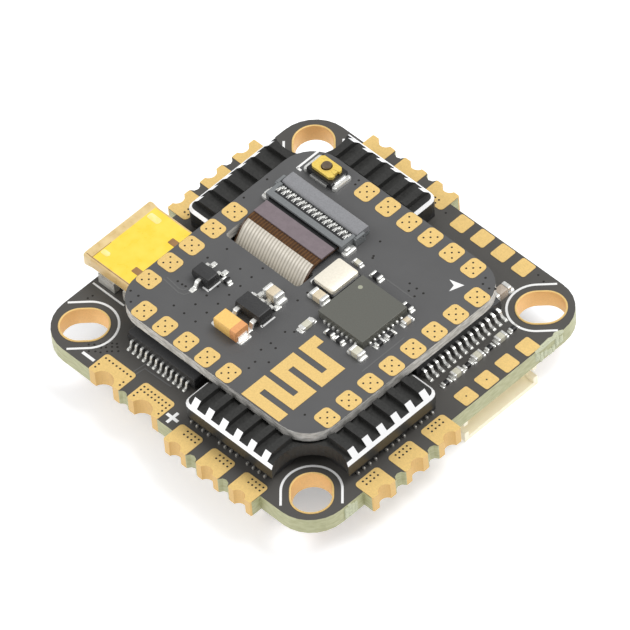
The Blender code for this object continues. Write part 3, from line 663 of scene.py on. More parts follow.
def slot_liners():
    """Plated barrels of the four mounting slots, with a rounded rim on both faces."""
    for node in [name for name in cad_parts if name.startswith("slot_liner")]:
        low, high, cx, cy = measured(node)
        angle = math.degrees(math.atan2(cy, cx))
        edge, wall = 0.05 * MM, SLOT_R + 0.1 * MM
        rim = SLOT_R + RIM_W
        z0, z1 = low[2], high[2]
        profile = [
            (SLOT_R, z0 + edge), (SLOT_R, z1 - edge), (SLOT_R + edge * 0.3, z1 - edge * 0.3),
            (SLOT_R + edge, z1), (rim - edge * 0.6, z1), (rim, z1 - edge * 0.6),
            (rim, MAIN_TOP), (wall, MAIN_TOP), (wall, MAIN_UNDER), (rim, MAIN_UNDER),
            (rim, z0 + edge * 0.6), (rim - edge * 0.6, z0), (SLOT_R + edge, z0),
            (SLOT_R + edge * 0.3, z0 + edge * 0.3),
        ]
        loops = [at_level(stadium(r, cx, cy, angle), z) for r, z in profile]
        bm = skin(bmesh.new(), loops, closed=True)
        obj = piece(f"{node}_plating", bm, "plated_gold", "barrel", smooth=True)
        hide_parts(node)


def small_pads():
    """Signal pads along the main board's right and rear edges."""
    for side, first, turn, place in (
        ("right", 2.36 * MM, 0, lambda a: (TAB_LEVEL, a)),
        ("rear", 2.01 * MM, 90, lambda a: (a, TAB_LEVEL)),
    ):
        bm = bmesh.new()
        for i in range(4):
            x, y = place(first + TAB_PITCH * i)
            outline = patch(x, y, *TAB_SIZE, 0.2 * MM, 4, turn)
            prism(bm, outline, MAIN_TOP - COPPER_T, MAIN_TOP + COPPER_T)
            if side == "right" and i < 2:
                pad_hole(bm, x, y, 0.08 * MM, MAIN_TOP, 8)
        piece(f"signal_pads_{side}", bm, "plated_gold", "gold", "hole")


def aerial():
    """Printed aerial: one wide copper line folded back and forth."""
    left, right, width = 3.62 * MM, 7.9 * MM, 1.02 * MM
    pitch, first = 1.6 * MM, -4.9 * MM
    z0, z1 = UPPER_TOP - COPPER_T, UPPER_TOP + COPPER_T
    bm = bmesh.new()
    near = [first + width - pitch * i for i in range(5)]
    far = [y - width for y in near]

    def fold(x0, x1, y0, y1):
        return [(x0, y0), (x1, y0), (x1, y1), (x0, y1)]

    points = [(left, -3.06 * MM), (left + width, -3.06 * MM)]
    for i in (0, 2):
        points += fold(left + width, right, near[i], far[i + 1])
    points += [(left + width, near[4]), (right, near[4]), (right, far[4]), (left, far[4])]
    for i in (3, 1):
        points += fold(left, right - width, near[i], far[i - 1])
    prism(bm, points, z0, z1)
    piece("printed_aerial", bm, "plated_gold", "gold")


# ---------------------------------------------------------------- printing and vias

def via_field(name, places, top, radius):
    bm = bmesh.new()
    for x, y in places:
        prism(bm, circle(radius, 8, x, y), top - INK_T, top + MARK_PROUD)
    piece(name, bm, "plated_gold", "hole")


def radio_board_vias():
    grid = []
    for x, first in ((-5.8, 1), (-4.5, 0)):
        for row in range(first, 7):
            grid.append((x * MM, (-0.9 - 1.26 * row) * MM))
    spots = ((-7.0, -8.45), (0.0, -1.4), (0.0, -0.3), (-1.5, -1.5), (-7.75, -6.4), (1.5, -7.0),
             (2.05, -8.2), (2.9, -7.5), (1.6, -4.4), (2.15, -3.9), (1.6, -6.0), (2.25, -6.1),
             (2.15, -9.0), (1.3, 5.8),
             (-3.1, 3.2), (-8.4, 2.6), (5.4, 5.9), (6.2, 5.9), (6.95, 5.9), (5.9, 5.3), (6.65, 5.2),
             (9.5, 10.4), (9.8, 9.8), (10.5, 9.8), (10.9, 10.1), (-5.4, 10.9), (-5.3, 10.4),
             (0.5, 7.45), (1.2, 6.0), (-11.0, 6.0), (-11.0, 3.35), (-8.6, -6.45), (-8.1, -6.45),
             (-10.7, -9.7), (-9.85, -9.65), (-9.85, -10.5), (8.9, -9.4), (-8.1, -1.4), (-8.6, -3.1))
    via_field("radio_board_vias", grid + in_mm(spots), UPPER_TOP, 0.11 * MM)


def main_board_vias():
    """A cluster of holes beside the left slot, and a few singles."""
    places = []
    for i in range(6):
        for j in range(3):
            x = (-11.3 + 0.34 * i + 0.3 * j + RNG.uniform(-0.06, 0.06)) * MM
            y = (-14.15 + 0.32 * i - 0.28 * j + RNG.uniform(-0.06, 0.06)) * MM
            places.append((x, y))
    places += in_mm([(11.2, 15.1), (10.4, 15.3), (0.2, 15.0), (-14.85, -10.85), (-14.75, -10.4)])
    via_field("main_board_vias", places, MAIN_TOP, 0.1 * MM)


# Tracks seen as low ridges under the solder mask, as (x, y) points in millimetres
RADIO_TRACKS = (
    ((-9.65, -7.05), (-7.7, -7.25), (-7.2, -7.1), (-7.0, -6.6)),
    ((-9.55, -6.75), (-7.95, -6.92), (-7.6, -6.8), (-7.45, -6.4)),
    ((2.8, 4.95), (6.7, 4.95)),
    ((9.1, -3.2), (9.1, 1.6)),
)
MAIN_TRACKS = (
    ((-6.3, -14.45), (-6.1, -12.9), (-3.15, -12.8)),
    ((-6.6, -14.2), (-6.4, -12.5), (-2.9, -12.4)),
    ((12.3, -1.2), (12.3, 1.0)),
)


def tracks():
    for name, rows, top, slot in (
        ("radio_board_tracks", RADIO_TRACKS, UPPER_TOP, "upper_mask"),
        ("main_board_tracks", MAIN_TRACKS, MAIN_TOP, "main_mask"),
    ):
        bm = bmesh.new()
        for row in rows:
            ribbon(bm, in_mm(row), 0.12 * MM, top - INK_T, top + TRACK_PROUD)
        piece(name, bm, slot, "trace")


def tab_remains():
    """Rough laminate where the board was snapped out of its panel."""
    bm = bmesh.new()
    steps = 9
    inner, outer = [], []
    for i in range(steps + 1):
        y = (9.3 + 3.2 * i / steps) * MM
        bite = 0.05 * MM if i in (0, steps) else RNG.uniform(0.15, 0.42) * MM
        inner.append((MAIN_HALF - bite, y))
        outer.append((MAIN_HALF + RNG.uniform(0.01, 0.07) * MM, y))
    prism(bm, outer + inner[::-1], MAIN_TOP - 0.25 * MM, MAIN_TOP + 0.015 * MM)
    for i in range(7):
        y = (9.5 + 0.45 * i) * MM
        low = MAIN_UNDER + RNG.uniform(0.05, 0.5) * MM
        place = (MAIN_HALF - 0.05 * MM, y)
        lump = patch(*place, 0.3 * MM, 0.5 * MM, 0.14 * MM, 3, RNG.uniform(-20, 20))
        cushion(bm, lump, low, low + RNG.uniform(0.6, 1.0) * MM, 0.12 * MM)
    for i in range(4):
        place = (MAIN_HALF + 0.02 * MM, (-12.1 + 0.35 * i) * MM)
        lump = patch(*place, 0.24 * MM, 0.4 * MM, 0.1 * MM, 3, RNG.uniform(-20, 20))
        cushion(bm, lump, MAIN_UNDER + 0.2 * MM, MAIN_TOP - RNG.uniform(0.02, 0.5) * MM, 0.1 * MM)
    piece("snapped_tabs", bm, "main_mask", "laminate", smooth=True)


def slot_ring(bm, sx, sy, reach, level=MAIN_TOP):
    """A printed line round a slot, open towards the board's corner."""
    radius, width = 2.45 * MM, 0.2 * MM
    angle = math.degrees(math.atan2(sy, sx))
    path = [(reach, -radius)]
    path += arc(-0.35 * MM, 0, radius, 270, 90, 36)
    path += [(reach, radius)]
    path = turned(path, angle, sx * SLOT_CENTRE, sy * SLOT_CENTRE)
    ribbon(bm, path, width, level - INK_T, level + INK_T)


# Tracks and vias of the underside, in millimetres
UNDER_TRACKS = (
    ((2.3, 3.0), (4.6, 3.0), (6.4, 4.8), (9.6, 4.8)),
    ((2.3, 2.5), (4.8, 2.5), (6.6, 4.3), (9.6, 4.3)),
    ((2.3, 2.0), (5.0, 2.0), (6.8, 3.8), (9.6, 3.8)),
    ((2.3, -1.0), (3.2, -1.0), (4.4, -2.2)),
    ((2.3, -1.5), (3.0, -1.5), (4.3, -2.8)),
    ((-5.3, -1.5), (-7.2, -1.5)),
    ((-5.3, 3.9), (-8.6, 3.9), (-10.6, 5.9), (-10.6, 7.4)),
    ((-4.4, 4.8), (-4.4, 7.2), (-3.0, 8.6)),
    ((-3.9, 4.8), (-3.9, 7.0), (-2.5, 8.4)),
)
UNDER_VIAS = ((9.9, 4.8), (9.9, 4.3), (9.9, 3.8), (-10.6, 7.8), (-3.0, 8.9), (-2.5, 8.7), (0.3, 5.6),
              (1.1, 5.9), (-7.4, 2.2), (-7.4, -0.2), (4.6, 0.2), (3.6, -4.2), (7.6, -3.3), (7.6, -4.1),
              (-12.6, 1.6), (-12.6, 0.4), (-12.6, -5.6), (-12.6, -7.2), (-6.4, -8.2), (0.4, -4.6))


def underside_printing():
    rings, lines, holes = bmesh.new(), bmesh.new(), bmesh.new()
    for sx, sy in ((-1, -1), (1, -1), (1, 1), (-1, 1)):
        slot_ring(rings, sx, sy, 1.1 * MM, MAIN_UNDER)
    piece("slot_rings_under", rings, "main_mask", "ink")
    for row in UNDER_TRACKS:
        ribbon(lines, in_mm(row), 0.14 * MM, MAIN_UNDER - TRACK_PROUD, MAIN_UNDER + INK_T)
    piece("underside_tracks", lines, "main_mask", "trace")
    for x, y in in_mm(UNDER_VIAS):
        prism(holes, circle(0.11 * MM, 8, x, y), MAIN_UNDER - 0.012 * MM, MAIN_UNDER + INK_T)
    piece("underside_vias", holes, "plated_gold", "hole")


def side_contacts(cx, cy, reach, count, length):
    """Outlines of a leadless chip's contacts, `count` along each of its sides."""
    outlines = []
    for angle in (0, 90, 180, 270):
        for along in row_of(count, CHIP_PITCH):
            spot = turned([(along, -reach)], angle, cx, cy)[0]
            outlines.append(patch(*spot, 0.24 * MM, length, 0.06 * MM, 2, angle))
    return outlines


def underside_contacts():
    """Soldered contacts round the processor and the gyro, and each chip's first-pin dot."""
    bm, dots = bmesh.new(), bmesh.new()
    for node, count in (("processor_chip", 12), ("gyro_chip", 4)):
        low, high, cx, cy = measured(node)
        half = (high[0] - low[0]) / 2
        for pad in side_contacts(cx, cy, half + 0.06 * MM, count, 0.4 * MM):
            prism(bm, pad, MAIN_UNDER - 0.2 * MM, MAIN_UNDER)
        disc = circle(half * 0.09, 20, low[0] + half * 0.3, high[1] - half * 0.3)
        prism(dots, disc, low[2] - MARK_PROUD, low[2] + INK_T)
    piece("underside_chip_contacts", bm, "tinned_metal", "tin", bevel=0.03 * MM)
    piece("underside_chip_dots", dots, "chip_plastic", "faded")


def main_board_printing():
    bm = bmesh.new()
    z0, z1 = MAIN_TOP - INK_T, MAIN_TOP + INK_T
    for sx, sy, reach in ((-1, -1, 1.4), (1, -1, 1.15), (1, 1, 1.3), (-1, 1, 0.5)):
        slot_ring(bm, sx, sy, reach * MM)
    ribbon(bm, in_mm([(-15.7, -9.43), (-12.1, -9.43)]), 0.17 * MM, z0, z1)
    piece("slot_rings", bm, "main_mask", "ink")
    signs = bmesh.new()
    x, y, arm, stroke = -0.77 * MM, -15.0 * MM, 0.64 * MM, 0.28 * MM
    inner = [(-arm, -stroke / 2), (-stroke / 2, -stroke / 2), (-stroke / 2, -arm)]
    plus = [point for angle in (0, 90, 180, 270) for point in turned(inner, angle, x, y)]
    prism(signs, plus, z0, z1)
    box(signs, -11.05 * MM, -15.22 * MM, z0, -9.7 * MM, -14.95 * MM, z1)
    piece("polarity_marks", signs, "main_mask", "ink")


def radio_board_printing():
    """A generic pointer near the corner, and outlines round a few parts."""
    z0, z1 = UPPER_TOP - INK_T, UPPER_TOP + INK_T
    bm = bmesh.new()
    pointer = in_mm([(0.72, 0.0), (-0.48, 0.62), (-0.12, 0.0), (-0.48, -0.62)])
    prism(bm, turned(pointer, 43, 8.27 * MM, 8.2 * MM), z0, z1)
    piece("corner_pointer", bm, "upper_mask", "ink")
    lines = bmesh.new()
    line, bracket = 0.11 * MM, 0.15 * MM
    for node, aside, along, run, leg in (
        ("regulator", 0.12, 1.19, 1.4, 0.45),
        ("transistor", 0.02, 0.88, 1.6, 0.65),
    ):
        low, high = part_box(node)
        x, y = high[0] + aside * MM, low[1] + along * MM
        ribbon(lines, [(x, y), (x, y + run * MM)], bracket, z0, z1)
        ribbon(lines, [(x - leg * MM, y), (x + bracket / 2, y)], bracket, z0, z1)
    for path, width in (
        (((-3.35, -3.27), (-2.2, -3.27)), line),
        (((2.04, 3.05), (2.04, 4.0)), line),
        (((-10.05, 8.45), (-10.05, 10.9)), 0.2 * MM),
        (((-10.05, 8.5), (-9.6, 8.5)), 0.2 * MM),
    ):
        ribbon(lines, in_mm(path), width, z0, z1)
    chip_low, chip_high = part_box("radio_chip")
    x, y, arm = chip_low[0] - 0.2 * MM, chip_high[1] + 0.2 * MM, 0.7 * MM
    ribbon(lines, [(x, y - arm), (x, y + line / 2)], line, z0, z1)
    ribbon(lines, [(x, y), (x + arm, y)], line, z0, z1)
    piece("part_outlines", lines, "upper_mask", "ink")


# ---------------------------------------------------------------- chips and small parts

def bent_pin(bm, x, y, direction, width, shoulder, z, mat, reach_scale=1.0):
    """One bent pin leaving a chip's side at (x, y); direction is (0, 1) or the like."""
    dx, dy = direction
    t = 0.14 * MM
    outer = ((-0.1, shoulder), (0.3, shoulder), (0.44, shoulder - 0.09), (0.56, 0.24),
             (0.66, 0.15), (1.02, 0.15))
    inner = ((1.02, 0.0), (0.56, 0.0), (0.44, 0.09), (0.32, shoulder - 0.22),
             (0.22, shoulder - t / MM), (-0.1, shoulder - t / MM))
    rings = []
    for side in (-0.5, 0.5):
        ring = []
        for reach, height in outer + inner:
            px = x + dx * reach * reach_scale * MM - dy * width * side
            py = y + dy * reach * reach_scale * MM + dx * width * side
            ring.append((px, py, z + height * MM))
        rings.append(ring)
    skin(bm, rings, mat=mat)
    angle = math.degrees(math.atan2(dy, dx)) + 90
    cx, cy = x + dx * 0.86 * reach_scale * MM, y + dy * 0.86 * reach_scale * MM
    foot = patch(cx, cy, width * 1.35, 0.6 * reach_scale * MM, 0.05 * MM, 2, angle)
    prism(bm, foot, z - 0.03 * MM, z + 0.035 * MM, mat)


def pinned_chip(node, top, along, rows, pin_width, reach=1.0):
    """A moulded chip with bent pins in place of a node; rows are (count, pitch) a side."""
    low, high, cx, cy = measured(node)
    height = (high[2] - top) / MM - 0.1
    bm = bmesh.new()
    axis = 0 if along == "X" else 1
    half_long = (high[axis] - low[axis]) / 2
    half_wide = (high[1 - axis] - low[1 - axis]) / 2 - reach * MM
    levels = ((0.06, 0.0), (0.0, 0.42), (0.0, 0.52), (0.07, 0.96), (0.13, 1.0))
    base = top + 0.1 * MM
    rings = []
    turn = 90 if along == "Y" else 0
    for inset, level in levels:
        length, width = 2 * (half_long - inset * MM), 2 * (half_wide - inset * MM)
        ring = patch(cx, cy, length, width, 0.05 * MM, 2, turn)
        rings.append(at_level(ring, base + level * height * MM))
    skin(bm, rings)
    for side, (count, pitch) in zip((-1, 1), rows):
        for place in row_of(count, pitch):
            if along == "X":
                x, y, direction = cx + place, cy + side * half_wide, (0, side)
            else:
                x, y, direction = cx - side * half_wide, cy + place, (-side, 0)
            bent_pin(bm, x, y, direction, pin_width, height * 0.55 + 0.1, top, 1, reach)
    obj = piece(f"{node}_moulded", bm, "chip_plastic", "chip", "tin", smooth=True)
    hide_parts(node)


def capped_part(name, x, y, size, top, angle, body, slot, cap=0.24):
    """A chip capacitor or resistor: body between two tinned ends on solder fillets."""
    length, width, height = (v * MM for v in size)
    bm = bmesh.new()
    end = length * cap

    def along(distance):
        return turned([(distance, 0)], angle, x * MM, y * MM)[0]

    ring = patch(x * MM, y * MM, length - 2 * end, width * 0.96, width * 0.06, 2, angle)
    cushion(bm, ring, top, top + height * 0.97, height * 0.08, 0)
    for side in (-1, 1):
        place = along(side * (length - end) / 2)
        ring = patch(*place, end, width, min(end, width) * 0.2, 3, angle)
        cushion(bm, ring, top, top + height, height * 0.12, 1)
        place = along(side * (length / 2 + 0.02 * MM))
        ring = patch(*place, end * 1.3, width * 1.12, end * 0.3, 3, angle)
        cushion(bm, ring, top - 0.01 * MM, top + height * 0.34, height * 0.2, 1)
    return piece(name, bm, slot, body, "tin", smooth=True)


def leadless_chip():
    """Square chip: a moulded body, contacts along each side, a dot by the first one."""
    low, high, cx, cy = measured("radio_chip")
    edge = 0.05 * MM
    bm = bmesh.new()
    outline = rounded_rect(low[0], low[1], high[0], high[1], edge, 4)
    cushion(bm, outline, low[2], high[2], edge)
    obj = piece("radio_chip_body", bm, "chip_plastic", "chip_top")
    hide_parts("radio_chip")
    bm = bmesh.new()
    for pad in side_contacts(cx, cy, (high[0] - low[0]) / 2, 8, 0.34 * MM):
        cushion(bm, pad, UPPER_TOP, UPPER_TOP + 0.27 * MM, 0.1 * MM)
    piece("radio_chip_contacts", bm, "tinned_metal", "tin", smooth=True)
    dot = bmesh.new()
    disc = circle(0.2 * MM, 20, low[0] + 0.81 * MM, high[1] - 1.06 * MM)
    prism(dot, disc, high[2] - INK_T, high[2] + MARK_PROUD)
    piece("radio_chip_dot", dot, "chip_plastic", "faded")


def crystal():
    """Ceramic package with a bright lid, on four corner pads."""
    low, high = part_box("crystal")
    bm = bmesh.new()
    step = low[2] + 0.46 * (high[2] - low[2])
    outline = rounded_rect(low[0], low[1], high[0], high[1], 0.12 * MM, 4)
    cushion(bm, outline, low[2], step, 0.05 * MM, 0)
    inset = 0.12 * MM
    lid = rounded_rect(low[0] + inset, low[1] + inset, high[0] - inset, high[1] - inset, 0.2 * MM, 4)
    cushion(bm, lid, step - 0.02 * MM, high[2], 0.06 * MM, 1)
    for x in (low[0], high[0]):
        for y in (low[1] + 0.45 * MM, high[1] - 0.45 * MM):
            pad = patch(x, y, 0.5 * MM, 0.8 * MM, 0.1 * MM, 3)
            cushion(bm, pad, UPPER_TOP, UPPER_TOP + 0.2 * MM, 0.08 * MM, 2)
    obj = piece("crystal_package", bm, "crystal_lid", "black", "lid", "tin", smooth=True)
    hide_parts("crystal")


def tantalum():
    """Moulded capacitor with a marked end and folded terminals."""
    low, high, _, middle = measured("tantalum_capacitor")
    bm = bmesh.new()
    z0, z1 = low[2], high[2]
    waist = z0 + 0.45 * (z1 - z0)
    band = low[0] + 0.74 * (high[0] - low[0])

    def block(x0, x1, mat):
        rings = []
        for inset, z in ((0.08, z0), (0.0, waist), (0.03, z1 - 0.08 * MM), (0.1, z1)):
            g = inset * MM
            ring = rounded_rect(x0, low[1] + g, x1, high[1] - g, 0.03 * MM, 2)
            rings.append(at_level(ring, z))
        skin(bm, rings, mat=mat)

    block(low[0], band, 0)
    block(band, high[0], 1)
    for x, out in ((low[0], -1), (high[0], 1)):
        x0, x1 = x - out * 0.35 * MM, x + out * 0.1 * MM
        box(bm, x0, middle - 0.5 * MM, UPPER_TOP, x1, middle + 0.5 * MM, waist, 2)
        foot = patch(x + out * 0.15 * MM, middle, 0.7 * MM, 1.3 * MM, 0.15 * MM)
        cushion(bm, foot, UPPER_TOP, UPPER_TOP + 0.16 * MM, 0.08 * MM, 2)
    obj = piece("tantalum_body", bm, "tantalum_resin", "resin", "band", "tin", bevel=0.02 * MM, smooth=True)
    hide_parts("tantalum_capacitor")


def large_capacitor():
    low, high, cx, cy = measured("ceramic_capacitor")
    size = [(h - l) / MM for l, h in zip(low, high)]
    place = ("large_capacitor", cx / MM, cy / MM)
    obj = capped_part(*place, size, UPPER_TOP, 0, "cream", "capacitor_ceramic")
    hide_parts("ceramic_capacitor")


# Small parts: name, centre x, centre y, (length, width, height), angle, finish. Millimetres.
RADIO_PARTS = (
    ("load_capacitor_rear", 8.15, 2.85, (0.95, 0.5, 0.42), 90, "cream"),
    ("pull_resistor_rear", 7.15, 3.95, (0.95, 0.5, 0.32), 0, "black"),
    ("supply_capacitor_1", 4.5, -2.2, (0.85, 0.45, 0.36), 0, "black"),
    ("supply_capacitor_2", 5.6, -2.2, (0.85, 0.45, 0.36), 0, "black"),
    ("supply_capacitor_3", 8.15, 0.95, (0.85, 0.45, 0.36), 90, "black"),
    ("supply_capacitor_4", 8.15, -0.25, (0.85, 0.45, 0.36), 90, "black"),
    ("corner_capacitor", 7.6, -2.2, (1.25, 0.8, 0.6), 0, "pale"),
    ("aerial_match", 2.45, -2.8, (1.35, 0.62, 0.36), 90, "pale"),
    ("crystal_capacitor_1", 0.9, 4.55, (0.8, 0.45, 0.36), 0, "pale"),
    ("crystal_capacitor_2", 3.05, 4.55, (0.95, 0.6, 0.4), 0, "black"),
    ("bulk_capacitor", 1.2, -0.1, (1.5, 0.9, 0.62), 0, "cream"),
    ("gate_resistor", -5.6, -3.85, (0.8, 0.45, 0.3), 0, "black"),
)


def alike(name, places, *rest):
    """Rows for parts of one kind, numbered in the order of their places."""
    return [(f"{name}_{i + 1}", x, y, *rest) for i, (x, y) in enumerate(places)]


MAIN_PARTS = (
    *alike("port_capacitor", ((12.9, 8.45), (12.9, 5.8), (12.9, 3.45)), (0.98, 0.68, 0.5), 90, "pale"),
    ("corner_filter", 9.7, 11.75, (1.7, 0.85, 0.8), 90, "tan"),
    *alike("port_resistor", ((12.95, 9.85), (12.95, 7.15), (12.95, 4.65), (12.95, 2.2)),
           (0.8, 0.42, 0.3), 90, "black"),
)
UNDER_PARTS = (
    *alike("core_capacitor", ((-6.4, 3.4), (-6.4, 1.0), (-6.4, -1.4), (3.4, 3.4), (3.4, 1.0)),
           (1.0, 0.5, 0.5), 90, "cream"),
    ("sensor_capacitor", 5.5, -5.8, (1.0, 0.5, 0.5), 0, "cream"),
    *alike("output_capacitor", ((-9.5, 0.6), (-9.5, -6.4)), (2.0, 1.25, 1.1), 0, "cream"),
)


def small_parts():
    for top, rows in ((UPPER_TOP, RADIO_PARTS), (MAIN_TOP, MAIN_PARTS)):
        for name, x, y, size, angle, body in rows:
            slot = "capacitor_ceramic" if body != "black" else "chip_plastic"
            capped_part(name, x, y, size, top, angle, body, slot)
    for name, x, y, size, angle, body in UNDER_PARTS:
        obj = capped_part(name, x, -y, size, 0.0, -angle, body, "capacitor_ceramic")
        turn = Matrix.Translation((0, 0, MAIN_UNDER)) @ Matrix.Rotation(math.pi, 4, "X")
        obj.data.transform(turn)


def transistor_leads():
    """Soldered leads on the outer side of every power transistor, four to each."""
    for side in ("top", "bottom"):
        bm = bmesh.new()
        for number in range(1, 13):
            low, high, cx, cy = measured(f"power_transistor_{side}_{number:02d}")
            angle = math.degrees(math.atan2(cy, cx))
            quarter = round(angle / 90) * 90 if abs(cx) != abs(cy) else 0
            half = (high[0] - low[0]) / 2
            for step in row_of(TRANSISTOR_LEADS, LEAD_PITCH):
                spot = turned([(half + 0.14 * MM, step)], quarter, cx, cy)[0]
                pad = patch(*spot, 0.3 * MM, 0.22 * MM, 0.06 * MM, 2, quarter)
                if side == "top":
                    cushion(bm, pad, MAIN_TOP, MAIN_TOP + 0.24 * MM, 0.1 * MM)
                else:
                    prism(bm, pad, MAIN_UNDER - 0.24 * MM, MAIN_UNDER)
        piece(f"transistor_leads_{side}", bm, "tinned_metal", "solder", smooth=True)


# ---------------------------------------------------------------- ports

def usb_profile(grow):
    """The port's upper outline (y, height) from one skirt over the top to the other."""
    half, high, corner = PORT_HALF + grow, PORT_H + grow, 0.26 * MM
    points = arc(half - corner, high - corner, corner, 0, 90, 5)
    points += arc(corner - half, high - corner, corner, 90, 180, 5)
    return points


def usb_film():
    """Film round the port: yellow on top, amber over the mouth's lip, and down the sides a darker amber
    that paints in shade.
    """
    def section(x, grow, skirt):
        outer, inner = usb_profile(grow + FILM_FAR), usb_profile(grow + FILM_NEAR)
        loop = [(outer[0][0], skirt)] + outer + [(outer[-1][0], skirt)]
        loop += [(inner[-1][0], skirt)] + inner[::-1] + [(inner[0][0], skirt)]
        return [(x, PORT_Y + y, MAIN_TOP + z) for y, z in loop]

    bm = bmesh.new()
    skin(bm, [
        section(PORT_REAR_X, 0.0, 1.5 * MM),
        section(PORT_FLARE_X, 0.0, 1.35 * MM),
        section(FILM_FOLD_X, 0.014 * MM, 1.34 * MM),
        section(PORT_MOUTH_X + 0.2 * MM, 0.08 * MM, 1.27 * MM),
        section(PORT_MOUTH_X, 0.04 * MM, 1.27 * MM),
    ])
    for face in bm.faces:
        centre = face.calc_center_median()
        if centre.x < FILM_FOLD_X:
            face.material_index = 2
        # Painted shade: the sides get a darker copy of the film.
        elif abs(centre.y - PORT_Y) > PORT_HALF - 0.1 * MM:
            face.material_index = 1
    obj = piece("usb_film", bm, "polyimide_film", "film", "film_side", "film_lip", smooth=True)
    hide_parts("usb_tape")


def usb_details():
    """Contacts on the tongue; brown marks and lines on the film, one of them painted shade at the lip, and
    pale patches of painted highlight.
    """
    low, high, _, middle = measured("usb_tongue")
    bm = bmesh.new()
    z = low[2] + 1.3 * MM
    for step in row_of(USB_CONTACTS, USB_PITCH):
        y = middle + step
        box(bm, low[0] + 0.2 * MM, y - 0.15 * MM, z, high[0] - 1.2 * MM, y + 0.15 * MM, z + 0.03 * MM)
    piece("usb_contacts", bm, "plated_gold", "gold")
    usb_film()
    flat = MAIN_TOP + PORT_H + FILM_FAR
    near = PORT_Y - PORT_HALF
    marks = bmesh.new()
    for y in (-3.4 * MM, -7.5 * MM):
        outline = patch(-12.3 * MM, y, 0.8 * MM, 0.62 * MM, 0.08 * MM)
        prism(marks, outline, flat - INK_T, flat + 0.012 * MM)
    # A brown line along the film's near top edge, on to the lip.
    edge_line = [(PORT_REAR_X, near + 0.04 * MM), (FILM_FOLD_X, near + 0.04 * MM)]
    ribbon(marks, edge_line, 0.05 * MM, flat - INK_T, flat + 0.008 * MM)
    # Painted shade: a brown line across the film where its flat top meets the mouth's lip.
    fold = [(FILM_FOLD_X, near + 0.04 * MM), (FILM_FOLD_X, near + 2.2 * MM)]
    ribbon(marks, fold, 0.05 * MM, flat - INK_T, flat + 0.02 * MM)
    lip_edge_line = []
    for x, rise in ((FILM_FOLD_X, 0.014 * MM), (PORT_MOUTH_X + 0.2 * MM, 0.08 * MM)):
        z0, z1 = flat + rise - INK_T, flat + rise + 0.01 * MM
        y0, y1 = near, near + 0.06 * MM
        lip_edge_line.append([(x, y0, z0), (x, y1, z0), (x, y1, z1), (x, y0, z1)])
    skin(marks, lip_edge_line)
    piece("usb_film_marks", marks, "polyimide_film", "film_brown")
    # Painted highlights: pale patches, raised a hair, stand in for light glinting off wrinkles in the film
    # near the mouth.
    highlight_patches = bmesh.new()
    for x, y, length, width in ((-15.3, -2.65, 1.3, 0.62), (-15.6, -7.85, 0.85, 0.5)):
        outline = patch(x * MM, y * MM, length * MM, width * MM, 0.2 * MM)
        cushion(highlight_patches, outline, flat - INK_T, flat + 0.03 * MM, 0.02 * MM)
    piece("usb_film_painted_highlights", highlight_patches, "polyimide_film", "film_pale", smooth=True)


def wire_socket_details():
    """Six contacts in the wire socket and their tails on the board's underside."""
    low, high, _, middle = measured("wire_socket")
    z = (low[2] + high[2]) / 2
    pin, tail = 0.15 * MM, 0.17 * MM     # half widths
    bm = bmesh.new()
    for step in row_of(WIRE_WAYS, WIRE_PITCH):
        y = middle + step
        box(bm, low[0] + 0.85 * MM, y - pin, z - pin, high[0] - 1.0 * MM, y + pin, z + pin)
        x0, x1 = low[0] - 0.9 * MM, low[0] + 0.1 * MM
        box(bm, x0, y - tail, MAIN_UNDER - 0.22 * MM, x1, y + tail, MAIN_UNDER)
    piece("wire_socket_contacts", bm, "tinned_metal", "tin", bevel=0.03 * MM)


# A contact in steps: from and to depth, height, width and sideways place, in millimetres
SOCKET_CONTACT = (
    (0.72, 0.92, 0.985, 0.1, -0.1),
    (0.72, 0.92, 0.985, 0.1, 0.09),
    (0.9, 1.22, 0.975, 0.2, 0.0),
    (1.2, 1.5, 0.82, 0.2, 0.0),
    (1.45, 1.7, 0.62, 0.12, -0.12),
    (1.45, 1.7, 0.62, 0.12, 0.1),
)


def flex_socket_details(name, node, facing):
    """Contacts across a flat-cable socket's window, black bars in the window (the low one painted shade),
    and its two solder tabs.
    """
    low, high, cx, _ = measured(node)
    mouth = low[1] if facing < 0 else high[1]
    base = low[2] - 0.05 * MM
    inward = -facing

    def at(depth):
        return mouth + inward * depth * MM

    bm = bmesh.new()
    for step in row_of(CABLE_WAYS, CABLE_PITCH):
        x = cx + step
        for start, end, height, width, lean in SOCKET_CONTACT:
            near, far = x + (lean - width / 2) * MM, x + (lean + width / 2) * MM
            box(bm, near, at(start), base + 0.3 * MM, far, at(end), base + height * MM)
    # Black bars: the low one under the contacts paints the shade down in the window; the thin one lies by
    # the contacts' front ends.
    for start, end, half, under, over in ((0.93, 1.74, 3.97, 0.28, 0.38), (0.54, 0.96, 3.9, 0.9, 0.962)):
        x0, x1 = cx - half * MM, cx + half * MM
        box(bm, x0, at(start), base + under * MM, x1, at(end), base + over * MM, 1)
    piece(f"{name}_contacts", bm, "tinned_metal", "tin", "black", bevel=0.015 * MM)
    tabs = bmesh.new()
    half = 4.35 * MM
    for side in (-1, 1):
        x = cx + side * (half + 0.22 * MM)
        ring = patch(x, at(0.55), 0.62 * MM, 1.3 * MM, 0.15 * MM, 3)
        cushion(tabs, ring, base, base + 0.3 * MM, 0.1 * MM)
        ring = patch(x, at(0.4), 0.3 * MM, 0.6 * MM, 0.08 * MM, 3)
        cushion(tabs, ring, base, base + 0.6 * MM, 0.06 * MM)
    piece(f"{name}_tabs", tabs, "tinned_metal", "tin", smooth=True)


# Flat cable's centre line (y, height), from the upper socket down to the lower one
CABLE_ROUTE = (
    (5.3, 8.32), (4.4, 8.32), (3.4, 8.32), (2.5, 8.32), (1.85, 8.27), (1.25, 7.97), (0.78, 7.47),
    (0.35, 6.88), (-0.1, 6.27), (-0.75, 5.62), (-1.6, 5.26), (-2.5, 5.13), (-3.3, 5.12), (-4.1, 5.12),
)


